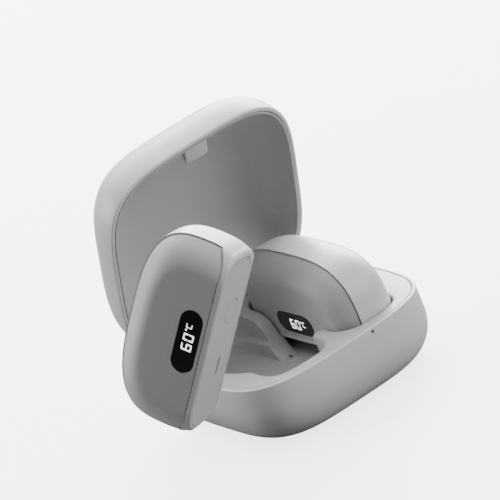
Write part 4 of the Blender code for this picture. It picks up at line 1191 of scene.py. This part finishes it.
# Pieces
def add_case(looks):
    still = Matrix.Identity(4)
    add_piece("base", base_mesh(), looks["shell"], still, "case", "case_plastic", "base_shell")
    add_piece("wells", tray_mesh(), looks["tray"], still, "case", "tray_plastic", "tray")
    for word, side in (("left", -1), ("right", 1)):
        node = f"charge_pins_{word}"
        add_piece(f"pins_{word}", pins_mesh(side), looks["gold"], still, "case", "gold", node)
    hinge = Matrix.Translation(HINGE_PLACE)
    opened = hinge @ Matrix.Rotation(-LID_OPEN_ANGLE, 4, "X") @ hinge.inverted()
    add_piece("lid", lid_mesh(), looks["shell"], opened, "lid", "lid_plastic", "lid_shell")
    add_piece("liner", liner_mesh(), looks["liner"], opened, "lid", "liner_plastic", "lid_liner")
    add_piece("catch", catch_mesh(), looks["liner"], opened, "lid", "catch_plastic", "lid_catch")


def add_warmers(looks):
    forms = {
        "cover": (cover_mesh(), "face", "pod_face"),
        "body": (body_mesh(), "pod", "pod_shell"),
        "side_plate": (side_plate_mesh(), "plate", "side_plastic"),
        "button": (button_mesh(), "plate", "button_plastic"),
        "window": (window_mesh(), "window", "window_plastic"),
        "charge_contact": (contact_mesh(), "gold", "gold"),
    }
    seated = warmer_frame(SEATED_ALONG, SEATED_ACROSS, SEATED_PLACE)
    loose = warmer_frame(LOOSE_ALONG, LOOSE_ACROSS, LOOSE_PLACE)
    for side, place in (("right", seated), ("left", loose)):
        for form, (mesh, look, slot) in forms.items():
            body = f"button_{side}" if form == "button" else f"pod_{side}"
            node = f"pod_{side}_{form}"
            add_piece(f"{side}_{form}", mesh.copy(), looks[look], place, body, slot, node)
        add_display(side, place, f"pod_{side}", looks["glow"])


def dress_nodes(looks):
    """Finishes of the part's solids, of which both warmers have the same."""
    for name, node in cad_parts.items():
        short = name.replace("pod_left_", "pod_").replace("pod_right_", "pod_")
        look = looks[NODE_LOOKS.get(short, "shell")]
        node.data.materials.clear()
        node.data.materials.append(look)
        node.data.shade_smooth()
        node.data.set_sharp_from_angle(angle=NODE_SHARP_ANGLE)


def make_looks():
    group = moulded_group()
    made = {look: moulded_material(group, *values) for look, *values in MOULDED_LOOKS}
    for look, *values in PLAIN_LOOKS:
        made[look] = plain_material(*values)
    made["glow"] = glowing_material("display glow", GLOW_STRENGTH)
    return made


# Stage
def add_floor():
    mesh = bpy.data.meshes.new("floor")
    half = FLOOR_HALF
    corners = [(-half, -half, 0), (half, -half, 0), (half, half, 0), (-half, half, 0)]
    mesh.from_pydata(corners, [], [(0, 1, 2, 3)])
    floor = bpy.data.objects.new("floor", mesh)
    bpy.context.scene.collection.objects.link(floor)
    look = plain_material("pale floor", FLOOR_COLOUR, FLOOR_ROUGHNESS)
    shader = shader_of(look)
    shader.inputs["Specular IOR Level"].default_value = FLOOR_GLOSS
    tree = look.node_tree
    seen = tree.nodes.new("ShaderNodeLightPath").outputs["Is Camera Ray"]
    tone = tree.nodes.new("ShaderNodeMix")
    tone.data_type = "RGBA"
    tone.inputs["A"].default_value = (*FLOOR_BOUNCE, 1)
    tone.inputs["B"].default_value = (*FLOOR_COLOUR, 1)
    tree.links.new(seen, tone.inputs["Factor"])
    tree.links.new(tone.outputs["Result"], shader.inputs["Base Color"])
    shader.inputs["Emission Color"].default_value = (*FLOOR_GLOW, 1)
    tree.links.new(seen, shader.inputs["Emission Strength"])
    mesh.materials.append(look)


def add_light(name, place, size, power):
    data = bpy.data.lights.new(name, "AREA")
    data.shape = "RECTANGLE"
    data.size, data.size_y = size
    data.energy = power
    light = bpy.data.objects.new(name, data)
    bpy.context.scene.collection.objects.link(light)
    light.location = place
    towards = Vector(LIGHT_TARGET) - Vector(place)
    light.rotation_euler = towards.to_track_quat("-Z", "Y").to_euler()


def add_stage():
    add_floor()
    world = bpy.data.worlds.new("studio")
    bpy.context.scene.world = world
    world.use_nodes = True
    background = world.node_tree.nodes["Background"]
    background.inputs["Color"].default_value = (1, 1, 1, 1)
    background.inputs["Strength"].default_value = WORLD_STRENGTH
    for values in LIGHTS:
        add_light(*values)


def add_camera():
    data = bpy.data.cameras.new("camera")
    data.lens = CAMERA_LENS
    data.sensor_width = CAMERA_SENSOR
    data.clip_end = CAMERA_REACH
    camera = bpy.data.objects.new("camera", data)
    bpy.context.scene.collection.objects.link(camera)
    azimuth, elevation, roll = CAMERA_AZIMUTH, CAMERA_ELEVATION, CAMERA_ROLL
    right = Vector((math.cos(azimuth), math.sin(azimuth), 0))
    back = Vector(
        (
            math.sin(azimuth) * math.cos(elevation),
            -math.cos(azimuth) * math.cos(elevation),
            math.sin(elevation),
        )
    )
    up = back.cross(right)
    side = right * math.cos(roll) + up * math.sin(roll)
    top = up * math.cos(roll) - right * math.sin(roll)
    turn = Matrix((side, top, back)).transposed().to_4x4()
    camera.matrix_world = Matrix.Translation(CAMERA_PLACE) @ turn
    bpy.context.scene.camera = camera


looks = make_looks()
dress_nodes(looks)
add_case(looks)
add_warmers(looks)
add_stage()
add_camera()
